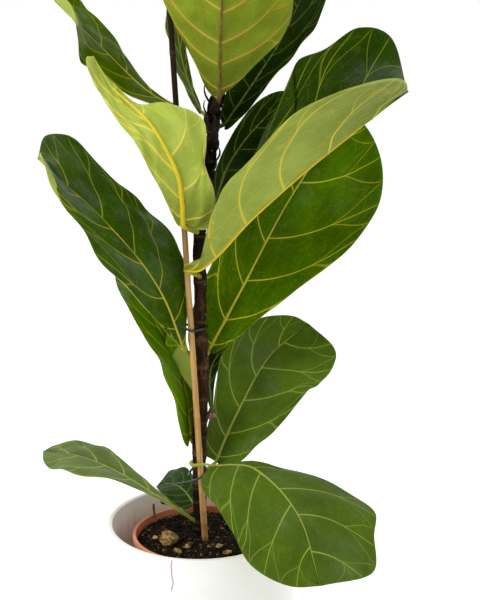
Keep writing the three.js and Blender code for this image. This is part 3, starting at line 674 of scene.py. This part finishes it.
REACHES = np.array([0.012, 0.028, 0.05, 0.085, 0.13, 0.18, 0.235, 0.29, 0.345, 0.4, 0.455, 0.51, 0.565,
                    0.62, 0.67, 0.72, 0.765, 0.81, 0.85, 0.885, 0.915, 0.94, 0.962, 0.98, 0.992, 1.0])
# Relief of a blade, in millimetres: half its thickness, the cushions between its side veins, its ripples, the
# grooves over midrib and side veins, and the ridges of side veins below.
RELIEF = dict(half=0.34, cushion=2.1, ripple=0.5, rib=0.5, groove=0.3, ridge=0.85)
RIPPLES = 7
USUAL_LENGTH = 300


def leaf_piece(node, spec, seed):
    q, lists = vein_rows(spec)
    t = np.concatenate([-REACHES[::-1], [0.0], REACHES])
    points, normals, v, x, length = blade(spec, q, t)
    rows, cols = v.shape
    middle = cols // 2
    reach = np.abs(t)[None, :]
    scale = length / USUAL_LENGTH

    # Distance to the nearest side vein, in rows of each half.
    run_q = np.gradient(points, q, axis=0)
    run_t = unit(np.gradient(points, axis=1))
    spread = np.linalg.norm(run_q - run_t * np.sum(run_q * run_t, -1, keepdims=True), axis=-1)
    phases, pitches = [], []
    for side in lists:
        knots = np.concatenate([[2 * side[0] - side[1]], side, [1.02]])
        phases.append(np.interp(q, knots, np.arange(len(knots)) - 1.0))
        step = np.interp(q, 0.5 * (knots[1:] + knots[:-1]), np.diff(knots))
        pitches.append(spread * step[:, None])
    is_right = np.arange(cols) > middle
    phase = np.where(is_right[None, :], phases[1][:, None], phases[0][:, None])
    pitch = np.where(is_right[None, :], pitches[1], pitches[0])
    near = np.abs((phase + 0.5) % 1 - 0.5)
    gap = near * pitch
    ridge = hill(gap, 1.35 - 0.6 * reach) * (1 - 0.7 * reach) * np.minimum(reach / 0.02, 1)
    cushion = (1 - hill(gap, 9)) * np.sin(np.pi * np.clip(reach, 0, 1) ** 0.7)
    rng = np.random.default_rng(seed)
    ripple = np.zeros_like(v)
    for _ in range(RIPPLES):
        fx, fy = rng.uniform(1.5, 5.5), rng.uniform(0.5, 3.0)
        ripple += np.sin(2 * np.pi * (fx * x + fy * np.sign(t)[None, :] * reach + rng.uniform()))
    body = scale * (RELIEF["cushion"] * cushion + RELIEF["ripple"] * ripple * (0.25 + reach**1.5))
    half = RELIEF["half"] * (1 - 0.7 * np.clip((reach - 0.93) / 0.07, 0, 1))
    grooves = RELIEF["groove"] * ridge + RELIEF["rib"] * hill(v, 2.4)
    top = points + normals * (body + half - grooves)[..., None]
    low = points + normals * (body - half - scale * RELIEF["ridge"] * ridge)[..., None]

    vertices = np.concatenate([top.reshape(-1, 3), low.reshape(-1, 3)])
    upper, lower, rim = sheet_faces(rows, cols)
    faces = np.concatenate([upper, lower, rim])
    which = [0] * len(upper) + [1] * (len(lower) + len(rim))
    on_right = upper[:, 0] % cols >= middle

    def corner_values(left, right):
        left, right = (np.broadcast_to(k, v.shape).ravel() for k in (left, right))
        sides = [np.where(on_right[:, None], right[order], left[order]) for order in (upper, upper[:, ::-1])]
        return np.concatenate(sides + [right[rim % v.size]]).ravel()

    corners = {
        "phase": corner_values(phases[0][:, None], phases[1][:, None]), "pitch": corner_values(*pitches),
        "reach": corner_values(reach, reach), "off": corner_values(v, v), "run": corner_values(x, x),
    }
    stalk, stalk_faces, stalk_run = stalk_of(spec, length)
    base = len(vertices)
    vertices = np.concatenate([vertices, stalk])
    faces = faces.tolist() + [tuple(base + k for k in f) for f in stalk_faces]
    which += [2] * len(stalk_faces)
    along_stalk = corner_list(stalk_run, stalk_faces)
    for key in corners:
        extra = along_stalk if key == "run" else np.zeros(len(along_stalk))
        corners[key] = np.concatenate([corners[key], extra])
    return make(f"{node}_blade", vertices, faces, leaf_finishes(spec["tone"]), [node], which, corners)


STALK = dict(steps=90, sides=12, bulge=12, ends=(3.5, 2.9))  # swollen over the bulge's length by the stem


def stalk_of(spec, length):
    """The petiole, swollen at the stem, and the midrib that it becomes under the blade."""
    places = np.array([0.05, 0.2, 0.35, 0.5, 0.65, 0.8, 0.92])
    points, normals, _, _, _ = blade(spec, places, np.array([-0.5, 0.0, 0.5]))
    thick = np.interp(places, [0, 0.3, 0.92], [2.1, 1.9, 0.6]) * (0.75 + 0.25 * length / USUAL_LENGTH)
    thick = thick * spec.get("stout", 1)
    ridge = points[:, 1] - normals[:, 1] * (0.62 * thick)[:, None]
    knots = np.concatenate([np.array(spec["petiole"], float), ridge])
    steps, sides = STALK["steps"], STALK["sides"]
    travel = np.concatenate([[0], np.cumsum(np.linalg.norm(np.diff(knots, axis=0), axis=1))])
    share = np.linspace(0, 1, steps) * travel[-1]
    start = travel[len(spec["petiole"])]
    wide_at = [0, min(STALK["bulge"], start * 0.4), start, travel[-1]]
    wide = np.interp(share, wide_at, [*STALK["ends"], thick[0], thick[-1]])
    vertices, faces = tube(evenly(knots, steps), wide, sides)
    run = (share - start) / (travel[-1] - start)
    return vertices, faces, per_ring(run, sides, run[0], run[-1])


for number, (leaf_node, leaf_spec) in enumerate(LEAVES.items()):
    leaf_piece(leaf_node, leaf_spec, 100 + number)


# ---- Stem, tip, stub and cane ----
def bark_finish():
    f = Finish("stem_bark", roughness=0.9, specular=0.12)
    fine = f.noise(14.0, 5.0, f.stretch((16, 16, 3)))
    coarse = f.noise(60.0, 4.0)
    tone = f.over("0d0703", "3a2412", fine, 0.3, 0.68)
    tone = f.over(tone, "7a5640", coarse, 0.56, 0.78, 0.6)
    height = f.axis(2)
    # painted shade: the bark goes near black high up, among the crowded leaves
    tone = f.over(tone, "050302", height, 0.46, 0.6, 0.92)
    # painted shade: the bark also goes near black low down, towards the soil
    tone = f.over(tone, "050302", height, 0.3, 0.24, 0.8)
    pores = f.remap(f.cells(210.0, feature="F1"), 0.2, 0.08, 0.0, 0.75)
    patchy = f.times(pores, f.remap(f.noise(40.0, 1.0), 0.5, 0.62))
    tone = f.mix(patchy, tone, paint("b9a98a"))
    ring = f.attribute("scar")
    f.color(f.mix(f.times(ring, 0.28), tone, paint("6e5a2c")))
    relief = f.plus(f.times(fine, 0.8), f.times(coarse, 0.5))
    f.bump(relief, 0.0012)
    return f.material


BARE_NODES = [343, 240, 258, 373, 448, 470, 545, 640, 664]  # heights of nodes whose leaf is gone
# Heights along the stem, and how much the bark adds there, in millimetres; none under the ties.
BARK = ((262, 270, 282, 296, 446, 454, 466, 476, 640, 745), (0.4, 0, 0, 1.4, 1.4, 0, 0, 1.4, 1.4, 0.4))


def stem_piece():
    count, sides = 520, 28
    path = evenly(STEM["route"], count)
    share = np.linspace(0, 1, count)
    z = path[:, 2]
    nodes = [leaf["petiole"][0][2] for leaf in LEAVES.values()] + BARE_NODES
    swell, scar = np.zeros(count), np.zeros(count)
    for node in nodes:
        swell += hill(z - node, 7)
        scar += hill(z - node + 4, 1.6)
    radius = STEM["base"] + (STEM["top"] - STEM["base"]) * share + 0.7 * np.minimum(swell, 1)
    radius = radius + 0.22 * np.minimum(scar, 1) - 0.3
    bark = np.interp(z, BARK[0], BARK[1])
    path[:, 0] += 0.8 * bark
    turn = np.arange(sides) * 2 * np.pi / sides
    rough = np.zeros((count, sides))
    for i in range(count):
        for j in range(sides):
            spot = Vector((math.cos(turn[j]) * 3.2, math.sin(turn[j]) * 3.2, z[i] * 0.06))
            rough[i, j] = noise.noise(spot) * 0.55 + noise.noise(spot * 3.1) * 0.28
    rings = radius[:, None] + np.clip(rough, -0.7, 0.5)
    rings = rings + bark[:, None] * (1 + 0.5 * np.clip(rough, -0.7, 0.7))
    vertices, faces = tube(path, rings, sides)
    scars = corner_list(per_ring(np.minimum(scar, 1), sides, 0, 0), faces)
    make("stem_bark", vertices, faces, [bark_finish()], ["stem"], corners={"scar": scars})


def scale_finish(name, dark, light):
    f = Finish(name, roughness=0.7, specular=0.15)
    streak = f.noise(10.0, 4.0, f.stretch((60, 60, 5)))
    f.color(f.over(dark, light, streak, 0.3, 0.7))
    f.bump(streak, 0.0006)
    return f.material


def lobed_tube(route, steps, sides, radius, lobes, twist, depth):
    """A tube with lobes that turn as it runs. radius: a function of the share of its length."""
    share = np.linspace(0, 1, steps)
    turn = np.arange(sides) * 2 * np.pi / sides
    lobed = 1 + depth * np.cos(lobes * turn[None, :] + twist * share[:, None])
    return tube(evenly(route, steps), radius(share)[:, None] * lobed, sides)


def bud_piece():
    def radius(share):
        return 0.35 + 3.7 * np.sqrt(np.clip(1 - share, 0, 1)) * (1 - 0.15 * hill(share, 0.1))

    x, y, z = STEM["route"][-1]
    route = [(x, y, z + SEAT), (x + 1, y, z + 12), (x + 3, y - 1, z + 30)]
    vertices, faces = lobed_tube(route, 40, 20, radius, 3, 5, 0.06)
    look = scale_finish("bud_scale", "33411a", "6d6a2e")
    make("growing_tip_bud", vertices, faces, [look], ["growing_tip"])


SCALES = [596, 606, 616, 626, 635, 644, 652, 660, 667, 674, 681, 688, 695, 701, 707, 713, 719, 725, 731, 737,
          640, 656, 671, 685, 699, 710]  # heights of the dry scales' feet
SCALE = dict(rows=12, cols=7, thick=0.9, seat=4.4, crowd=620, flare=3.5)  # they flare more above crowd


def dry_scale(foot, around, high, wide, flare):
    """Points of one papery scale: its inner side, then its outer side."""
    out = np.array([math.cos(around), math.sin(around), 0])
    across = np.array([-out[1], out[0], 0])
    seat, points = SCALE["seat"], []
    for layer in (0.0, SCALE["thick"]):
        for u in np.linspace(0, 1, SCALE["rows"]):
            half = wide * (1 - u) ** 0.6 * (0.75 + 0.9 * u * (1 - u))
            for w in np.linspace(-half, half, SCALE["cols"]):
                lift = seat + layer + flare * math.sin(2.4 * u) - 0.28 * w**2 / seat
                points.append(foot + out * lift + across * w + np.array([0, 0, u * high]))
    return points


def dry_scales():
    """Dry papery scales round the top of the stem."""
    rng = random.Random(7)
    stem = evenly(STEM["route"], 300)
    one = [flipped(face) for face in np.concatenate(sheet_faces(SCALE["rows"], SCALE["cols"]))]
    vertices, faces = [], []
    for k, height in enumerate(SCALES):
        foot = stem[np.argmin(np.abs(stem[:, 2] - height))]
        around = k * 2.4 + rng.uniform(-0.4, 0.4)
        high, wide, flare = rng.uniform(18, 32), rng.uniform(5.5, 8.5), rng.uniform(1.5, 5.5)
        flare += SCALE["flare"] * min(1, max(0, (height - SCALE["crowd"]) / 30))
        faces += [[len(vertices) + corner for corner in face] for face in one]
        vertices += dry_scale(foot, around, high, wide, flare)
    make("dry_scales", vertices, faces, [scale_finish("dry_scale", "0b0704", "2c1e12")])


def stub_piece():
    def radius(share):
        return 3.0 - 0.6 * share + 0.6 * hill(share - 0.93, 0.08)

    vertices, faces = lobed_tube([(2, 4, 343), (14, -2, 347), (19, -5, 350)], 24, 14, radius, 2, 3, 0.07)
    look = scale_finish("stub_skin", "4a2c28", "8e665c")
    make("leaf_stub_end", vertices, faces, [look], ["leaf_stub"])


def cane_finish():
    f = Finish("cane_bamboo", specular=0.15)
    streak = f.noise(7.0, 5.0, f.stretch((70, 70, 2.2)))
    blot = f.noise(30.0, 3.0, f.stretch((1, 1, 0.4)))
    tone = f.over("a67c44", "c8a468", streak, 0.3, 0.72)
    tone = f.over(tone, "96683a", blot, 0.55, 0.75, 0.35)
    height = f.axis(2)
    # painted shade: the cane goes near black high up, among the leaves
    tone = f.over(tone, "0e0904", height, 0.5, 0.66, 0.97)
    f.rough(f.remap(height, 0.5, 0.66, 0.55, 0.95))
    soak = f.times(f.remap(height, 0.29, 0.2), f.remap(f.noise(34.0, 3.0), 0.4, 0.6, 0.15, 0.8))
    tone = f.mix(soak, tone, paint("6a4a28"))
    f.color(f.mix(f.times(f.attribute("ring"), 0.3), tone, paint("7d5833")))
    f.bump(streak, 0.0004)
    return f.material


CANE_NODES = (118, 226, 348, 486, 632, 786)  # heights of the cane's rings
CUT_RING = 0.6  # how much of the rings' colour the cut ends have


def cane_piece():
    count, sides = 420, 24
    foot, top = np.array(CANE["foot"], float), np.array(CANE["top"], float)
    share = np.linspace(0, 1, count)
    path = foot + (top - foot) * share[:, None]
    z = path[:, 2]
    ring, swell = np.zeros(count), np.zeros(count)
    for node in CANE_NODES:
        ring += hill(z - node, 1.3) + 0.5 * hill(z - node + 4, 1.0)
        swell += 0.3 * hill(z - node, 6) - 0.2 * hill(z - node + 4.5, 1.2)
    radius = CANE["radius"] - 0.05 - 0.8 * share + swell
    vertices, faces = tube(path, radius, sides)
    rings = corner_list(per_ring(np.minimum(ring, 1), sides, CUT_RING, CUT_RING), faces)
    make("bamboo_cane_stake", vertices, faces, [cane_finish()], ["bamboo_cane"],
         corners={"ring": rings})


TIE_LOOKS = {"tie_upper": ("15171a", "2c3034"), "tie_lower": ("0f2524", "214844")}  # dark and light


def tie_finish(node):
    f = Finish(f"{node}_coat", roughness=0.3, specular=0.5)
    f.color(f.over(*TIE_LOOKS[node], f.noise(120.0, 3.0), 0.4, 0.7))
    f.bump(f.noise(700.0, 2.0), 0.0001)
    return f.material


def tie_pieces():
    for node, route in TIES.items():
        path = evenly(route, 150)
        share = np.linspace(0, 1, 150)
        radius = (TIE_RADIUS + 0.5) * (0.92 + 0.06 * np.sin(share * 260))
        radius[:3] *= (0.45, 0.8, 0.95)
        radius[-3:] *= (0.95, 0.8, 0.45)
        vertices, faces = tube(path, radius, 12)
        make(f"{node}_wire", vertices, faces, [tie_finish(node)], [node])


stem_piece()
bud_piece()
dry_scales()
stub_piece()
cane_piece()
tie_pieces()


# ---- Planter, grow pot and mix ----
# A thin dark line on the front, in metres: its middle, how far it strays, its half width and its two ends.
STAIN = dict(x=-0.0305, stray=0.016, wide=(0.0013, 0.0005), foot=(0.166, 0.172), head=(0.2095, 0.207))


def planter_finish():
    """White glaze: dusty at the rim, lighter inside as painted light, with darker streaks inside and a thin
    stain in front.
    """
    f = Finish("planter_glaze", roughness=0.4, specular=0.45)
    x, y, z = (f.axis(k) for k in range(3))
    out, rim = PLANTER["radius"] * MM, PLANTER["height"] * MM
    cloud = f.noise(9.0, 4.0)
    tone = f.over("e8e7e4", "efeeeb", cloud, 0.35, 0.65)
    tone = f.over(tone, "d9d6cf", z, rim - 0.006, rim, 0.12)
    tone = f.over(tone, "cfccc5", f.noise(520.0, 1.0), 0.74, 0.78, 0.25)
    reach = f.math("SQRT", f.plus(f.times(x, x), f.times(y, y)))
    inside = f.times(f.remap(reach, out - 0.004, out - 0.005), f.remap(z, rim - 0.005, rim - 0.04))
    # darker vertical streaks on the inner wall
    inner_streaks = f.remap(f.noise(1.0, 4.0, f.stretch((70, 70, 6))), 0.5, 0.75, 0.0, 0.5)
    # painted light: the inner wall is lighter than the outside
    tone = f.mix(inside, tone, paint("fffdf4"))
    tone = f.mix(f.times(inside, inner_streaks), tone, paint("b0a898"))
    strays = f.times(f.minus(f.noise(1.0, 1.0, f.stretch((0, 0, 38))), 0.5), STAIN["stray"])
    beside = f.math("ABSOLUTE", f.minus(f.minus(x, strays), STAIN["x"]))
    long = f.times(f.remap(z, *STAIN["foot"]), f.remap(z, *STAIN["head"]))
    mark = f.times(f.remap(beside, *STAIN["wide"]), f.remap(y, -0.09, -0.1))
    f.color(f.mix(f.times(f.times(mark, long), 0.85), tone, paint("a38684")))
    f.rough(f.remap(cloud, 0.3, 0.7, 0.36, 0.46))
    f.bump(f.plus(f.times(f.noise(60.0, 3.0), 0.6), f.times(f.noise(600.0, 2.0), 0.2)), 0.0003)
    return f.material


def planter_piece():
    out, top, floor, foot = (PLANTER[key] for key in ("radius", "height", "floor", "foot"))
    inner, lip = out - PLANTER["wall"], PLANTER["wall"] / 2
    profile = [(0, 2), (out - 9, 2, 1), (out - 11, 0, 0.6), (out - foot, 0, 1.5), (out, foot, 2),
               (out, top - lip, 2), (out, top, 2.4), (inner, top, 2.4), (inner, top - 6, 1),
               (inner, floor, 5), (0, floor)]
    smooth = rounded(profile, 1.0, 6)
    rows = []
    for (r0, z0), (r1, z1) in zip(smooth, smooth[1:]):
        steps = max(1, int(abs(z1 - z0) / 14))
        rows += [(r0 + (r1 - r0) * k / steps, z0 + (z1 - z0) * k / steps) for k in range(steps)]
    rows.append(smooth[-1])

    def wobble(turn, z):
        return 0.12 * math.sin(2 * turn + 0.4) + 0.06 * math.sin(5 * turn + z * 0.02)

    vertices, faces = lathe(rows, 200, wobble)
    make("planter_shell", vertices, faces, [planter_finish()], ["planter"])


def pot_radius(z):
    floor = PLANTER["floor"] + SEAT
    top = POT["radius"] - POT["out"]
    return POT["base"] + (top - POT["base"]) * (z - floor) / (POT["rim"] - floor)


def pot_finish():
    f = Finish("pot_plastic", roughness=0.55, specular=0.4)
    grain = f.noise(400.0, 3.0)
    tone = f.over("c87050", "dc8e6a", f.noise(14.0, 4.0), 0.35, 0.7)
    dust = f.times(f.remap(f.noise(70.0, 4.0), 0.52, 0.72), f.remap(f.axis(2), 0.18, 0.193, 0.1, 0.4))
    tone = f.mix(dust, tone, paint("5b4334"))
    f.color(f.over(tone, "d08a70", grain, 0.3, 0.7, 0.12))
    f.bump(f.plus(grain, f.times(f.noise(25.0, 2.0), 0.8)), 0.0002)
    return f.material


def pot_piece():
    """The grow pot: a thin tapered shell with a rolled rim band and a step under it."""
    out, base, rim, wall = (POT[key] for key in ("radius", "base", "rim", "wall"))
    floor, low = PLANTER["floor"] + SEAT, rim - POT["band"]
    inner = out - POT["out"] - wall
    profile = [(0, floor + 1.5), (base - 8, floor + 1.5, 0.5), (base - 10, floor, 0.5), (base, floor, 2),
               (pot_radius(low), low, 0.4), (out - 0.3, low, 0.8), (out, rim - 1, 0.8),
               (out - 0.8, rim, 0.8), (inner, rim, 0.8), (inner - 0.3, rim - 6, 0.5),
               (base - wall, floor + wall, 1.5), (0, floor + wall)]

    def wobble(turn, z):
        return 0.25 * math.sin(2 * turn + 1.1) * z / rim

    vertices, faces = lathe(rounded(profile, 0.5, 4), 180, wobble)
    make("nursery_pot_shell", vertices, faces, [pot_finish()], ["nursery_pot"])


def soil_radius(z):
    return pot_radius(z) - POT["wall"] - SEAT - 0.6


def soil_height(r):
    return SOIL["top"] + SOIL["dome"] * (1 - (r / POT["radius"]) ** 2)


def lump(x, y):
    spot = Vector((x * 0.06, y * 0.06, 3.7))
    return noise.noise(spot) * 1.6 + noise.noise(spot * 2.7) * 1.3 + noise.noise(spot * 7.3) * 0.9


def crumb(rng, centre, size, vertices, faces):
    """A small irregular grain."""
    corners = [(0, 0, 1), (0, 0, -1), (1, 0, 0), (-1, 0, 0), (0, 1, 0), (0, -1, 0)]
    turn = rng.uniform(0, math.tau)
    ca, sa = math.cos(turn), math.sin(turn)
    stretch = (rng.uniform(0.8, 1.7), rng.uniform(0.6, 1.1), rng.uniform(0.45, 0.9))
    base = len(vertices)
    for corner in corners:
        x, y, z = (c * s * size * rng.uniform(0.75, 1.2) for c, s in zip(corner, stretch))
        x, y = x + rng.uniform(-0.2, 0.2) * size, y + rng.uniform(-0.2, 0.2) * size
        vertices.append((centre[0] + x * ca - y * sa, centre[1] + x * sa + y * ca, centre[2] + z))
    for a, b, c in ((0, 2, 4), (0, 4, 3), (0, 3, 5), (0, 5, 2), (1, 4, 2), (1, 3, 4), (1, 5, 3), (1, 2, 5)):
        faces.append((base + a, base + b, base + c))


ROOT_BALL = (150.0, 80.0)  # heights of rings down the side of the root ball
CRUMBS = 3000
BARK_BITS = 0.16  # share of crumbs that are bits of bark
TWIG = [(-60, 50, 191), (-61.5, 51, 199), (-62, 52, 209)]
TWIG_RADIUS = 1.4


def mix_finishes():
    """Peat, and bits of bark."""
    f = Finish("mix_peat", roughness=0.95, specular=0.15)
    fine = f.noise(260.0, 5.0)
    tone = f.over("070504", "231a12", fine, 0.35, 0.7)
    f.color(f.over(tone, "3c2d1e", f.noise(45.0, 4.0), 0.55, 0.75, 0.5))
    f.bump(fine, 0.0014)
    g = Finish("mix_bark_bits", roughness=0.9, specular=0.2)
    fine = g.noise(180.0, 4.0)
    tone = g.over("3a2817", "9a7c4c", fine, 0.3, 0.7)
    g.color(g.over(tone, "2b2018", g.noise(30.0, 2.0), 0.5, 0.7, 0.6))
    g.bump(fine, 0.0008)
    return [f.material, g.material]


def soil_piece():
    bottom = PLANTER["floor"] + SEAT + POT["wall"] + SEAT
    steps, rings = 200, 78
    edge = soil_radius(SOIL["top"])
    vertices = [(0.0, 0.0, soil_height(0) + lump(0, 0))]
    for i in range(1, rings + 1):
        r = edge * i / rings
        for x, y in circle(r, steps):
            settle = -2.0 * (r / edge) ** 10
            vertices.append((x, y, soil_height(r) + lump(x, y) * (1 - 0.6 * (r / edge) ** 8) + settle))
    for z in ROOT_BALL + (bottom + 1,):
        vertices += [(x, y, z) for x, y in circle(soil_radius(z), steps)]
    vertices.append((0.0, 0.0, bottom))
    faces = skin_faces(rings + len(ROOT_BALL) + 1, steps, from_top=True)
    which = [0] * len(faces)
    rng = random.Random(11)
    for _ in range(CRUMBS):
        r, turn = edge * math.sqrt(rng.uniform(0.0, 0.96)), rng.uniform(0, math.tau)
        size = min(4.2, 0.5 + rng.expovariate(1.35))
        if r + size * 1.6 > edge:
            continue
        x, y = r * math.cos(turn), r * math.sin(turn)
        before = len(faces)
        crumb(rng, (x, y, soil_height(r) + lump(x, y) + size * 0.2), size, vertices, faces)
        kind = 1 if rng.random() < BARK_BITS else 0
        which += [kind] * (len(faces) - before)
    twig, twig_faces = tube(evenly(TWIG, 14), TWIG_RADIUS, 8)
    base = len(vertices)
    vertices += [tuple(v) for v in twig]
    faces += [tuple(base + int(k) for k in face) for face in twig_faces]
    which += [1] * len(twig_faces)
    make("potting_mix", vertices, faces, mix_finishes(), ["soil"], which, flat=True)


def chip_finish():
    f = Finish("chip_bark", roughness=0.85, specular=0.25)
    grain = f.noise(24.0, 5.0, f.stretch((9, 3, 14)))
    pits = f.noise(220.0, 4.0)
    tone = f.over("5a431f", "b0935a", grain, 0.32, 0.68)
    tone = f.over(tone, "2f2415", pits, 0.55, 0.7, 0.7)
    f.color(tone)
    f.bump(f.plus(grain, f.times(pits, 0.5)), 0.0012)
    return f.material


CHIP = dict(rows=18, cols=30, cuts=9, depth=(0.42, 0.85), sink=0.6)


def chip_points(number, size):
    """Points of a broken slab: a ball cut by flat planes, then flaked and pitted."""
    rng = np.random.default_rng(40 + number)
    cuts, cols = CHIP["cuts"], CHIP["cols"]
    plane = unit(rng.uniform(-1, 1, (cuts, 3)))
    depth = rng.uniform(*CHIP["depth"], cuts)

    def shaped(d):
        reach = 1.0
        for k in range(cuts):
            facing = float(np.dot(d, plane[k]))
            if facing > 0:
                reach = min(reach, depth[k] / facing)
        reach *= 1 + 0.14 * noise.noise(Vector(d) * 2.6 + shift) + 0.1 * noise.noise(Vector(d) * 9.0 + shift)
        return np.array(d) * reach * np.array(size) / 2

    shift = Vector((number, number, number))
    points = [shaped((0, 0, 1))]
    for a in np.linspace(0, np.pi, CHIP["rows"] + 2)[1:-1]:
        for b in np.arange(cols) * 2 * np.pi / cols:
            points.append(shaped((math.sin(a) * math.cos(b), math.sin(a) * math.sin(b), math.cos(a))))
    points.append(shaped((0, 0, -1)))
    return np.array(points)


def chip_pieces():
    look = chip_finish()
    faces = skin_faces(CHIP["rows"], CHIP["cols"], from_top=True)
    for number, (x, y, turn, *size) in enumerate(CHIPS, 1):
        c, s = math.cos(math.radians(turn)), math.sin(math.radians(turn))
        spin = np.array([[c, s, 0], [-s, c, 0], [0, 0, 1]])
        seat = soil_height(math.hypot(x, y)) + size[2] / 2 - CHIP["sink"]
        vertices = chip_points(number, size) @ spin + np.array([x, y, seat])
        make(f"bark_chip_piece_{number}", vertices, faces, [look], [f"bark_chip_{number}"])


planter_piece()
pot_piece()
soil_piece()
chip_pieces()


# ---- Camera, lights, sky and floor ----
CAMERA = dict(lens=85.02, film=36, far=200, place=(0.0485, -1.628, 0.9355), down=15.2)
# name, place, aim, size and power
LIGHTS = [
    ("key", (-1.6, -1.3, 2.2), (0, 0, 0.5), 0.9, 36),
    ("back", (1.0, 1.9, 2.0), (0, 0, 0.5), 1.4, 4),
    ("fill", (1.5, -1.0, 2.2), (0, 0, 0.3), 1.2, 8),
]
SKY_UP = (0.0, 0.9, 1.3, 0.95)  # height in the sky from and to, and the brightness at each
SKY_BACK = (-1.0, 0.3, 0.46, 0.95)  # from behind the camera to behind the plant, and the brightness at each
FLOOR = dict(radius=60, steps=96, glow=0.2)


def camera_eye():
    camera = bpy.data.cameras.new("camera")
    camera.lens = CAMERA["lens"]
    camera.sensor_width = CAMERA["film"]
    camera.clip_end = CAMERA["far"]
    eye = placed("camera", camera)
    eye.location = CAMERA["place"]
    eye.rotation_euler = (math.radians(90 - CAMERA["down"]), 0, 0)
    bpy.context.scene.camera = eye


def softbox(name, place, aim, size, power):
    light = bpy.data.lights.new(name, "AREA")
    light.shape = "DISK"
    light.size = size
    light.energy = power
    lamp = placed(name, light)
    lamp.location = place
    lamp.rotation_euler = (Vector(aim) - Vector(place)).to_track_quat("-Z", "Y").to_euler()


def sky():
    world = bpy.data.worlds.new("studio")
    bpy.context.scene.world = world
    world.use_nodes = True
    tree = Nodes(world.node_tree, "Generated")
    up = tree.remap(tree.axis(2), *SKY_UP, kind="LINEAR")
    back = tree.remap(tree.axis(1), *SKY_BACK, kind="LINEAR")
    glow = tree.nodes["Background"].inputs
    glow["Color"].default_value = (1, 1, 1, 1)
    tree.fill(glow["Strength"], tree.times(up, back))


def studio_floor():
    mesh = bpy.data.meshes.new("floor")
    ring = [(x, y, 0) for x, y in circle(FLOOR["radius"], FLOOR["steps"])]
    mesh.from_pydata(ring, [], [tuple(range(FLOOR["steps"]))])
    floor = placed("floor", mesh)
    f = Finish("floor_paint", roughness=0.8, specular=0.1)
    f.color(f.over("f8f8f8", "fbfbfb", f.noise(3.0, 2.0), 0.3, 0.7))
    f.surface["Emission Color"].default_value = (1, 1, 1, 1)
    f.surface["Emission Strength"].default_value = FLOOR["glow"]
    mesh.materials.append(f.material)


camera_eye()
for box in LIGHTS:
    softbox(*box)
sky()
studio_floor()
bpy.context.scene.view_settings.view_transform = "Standard"
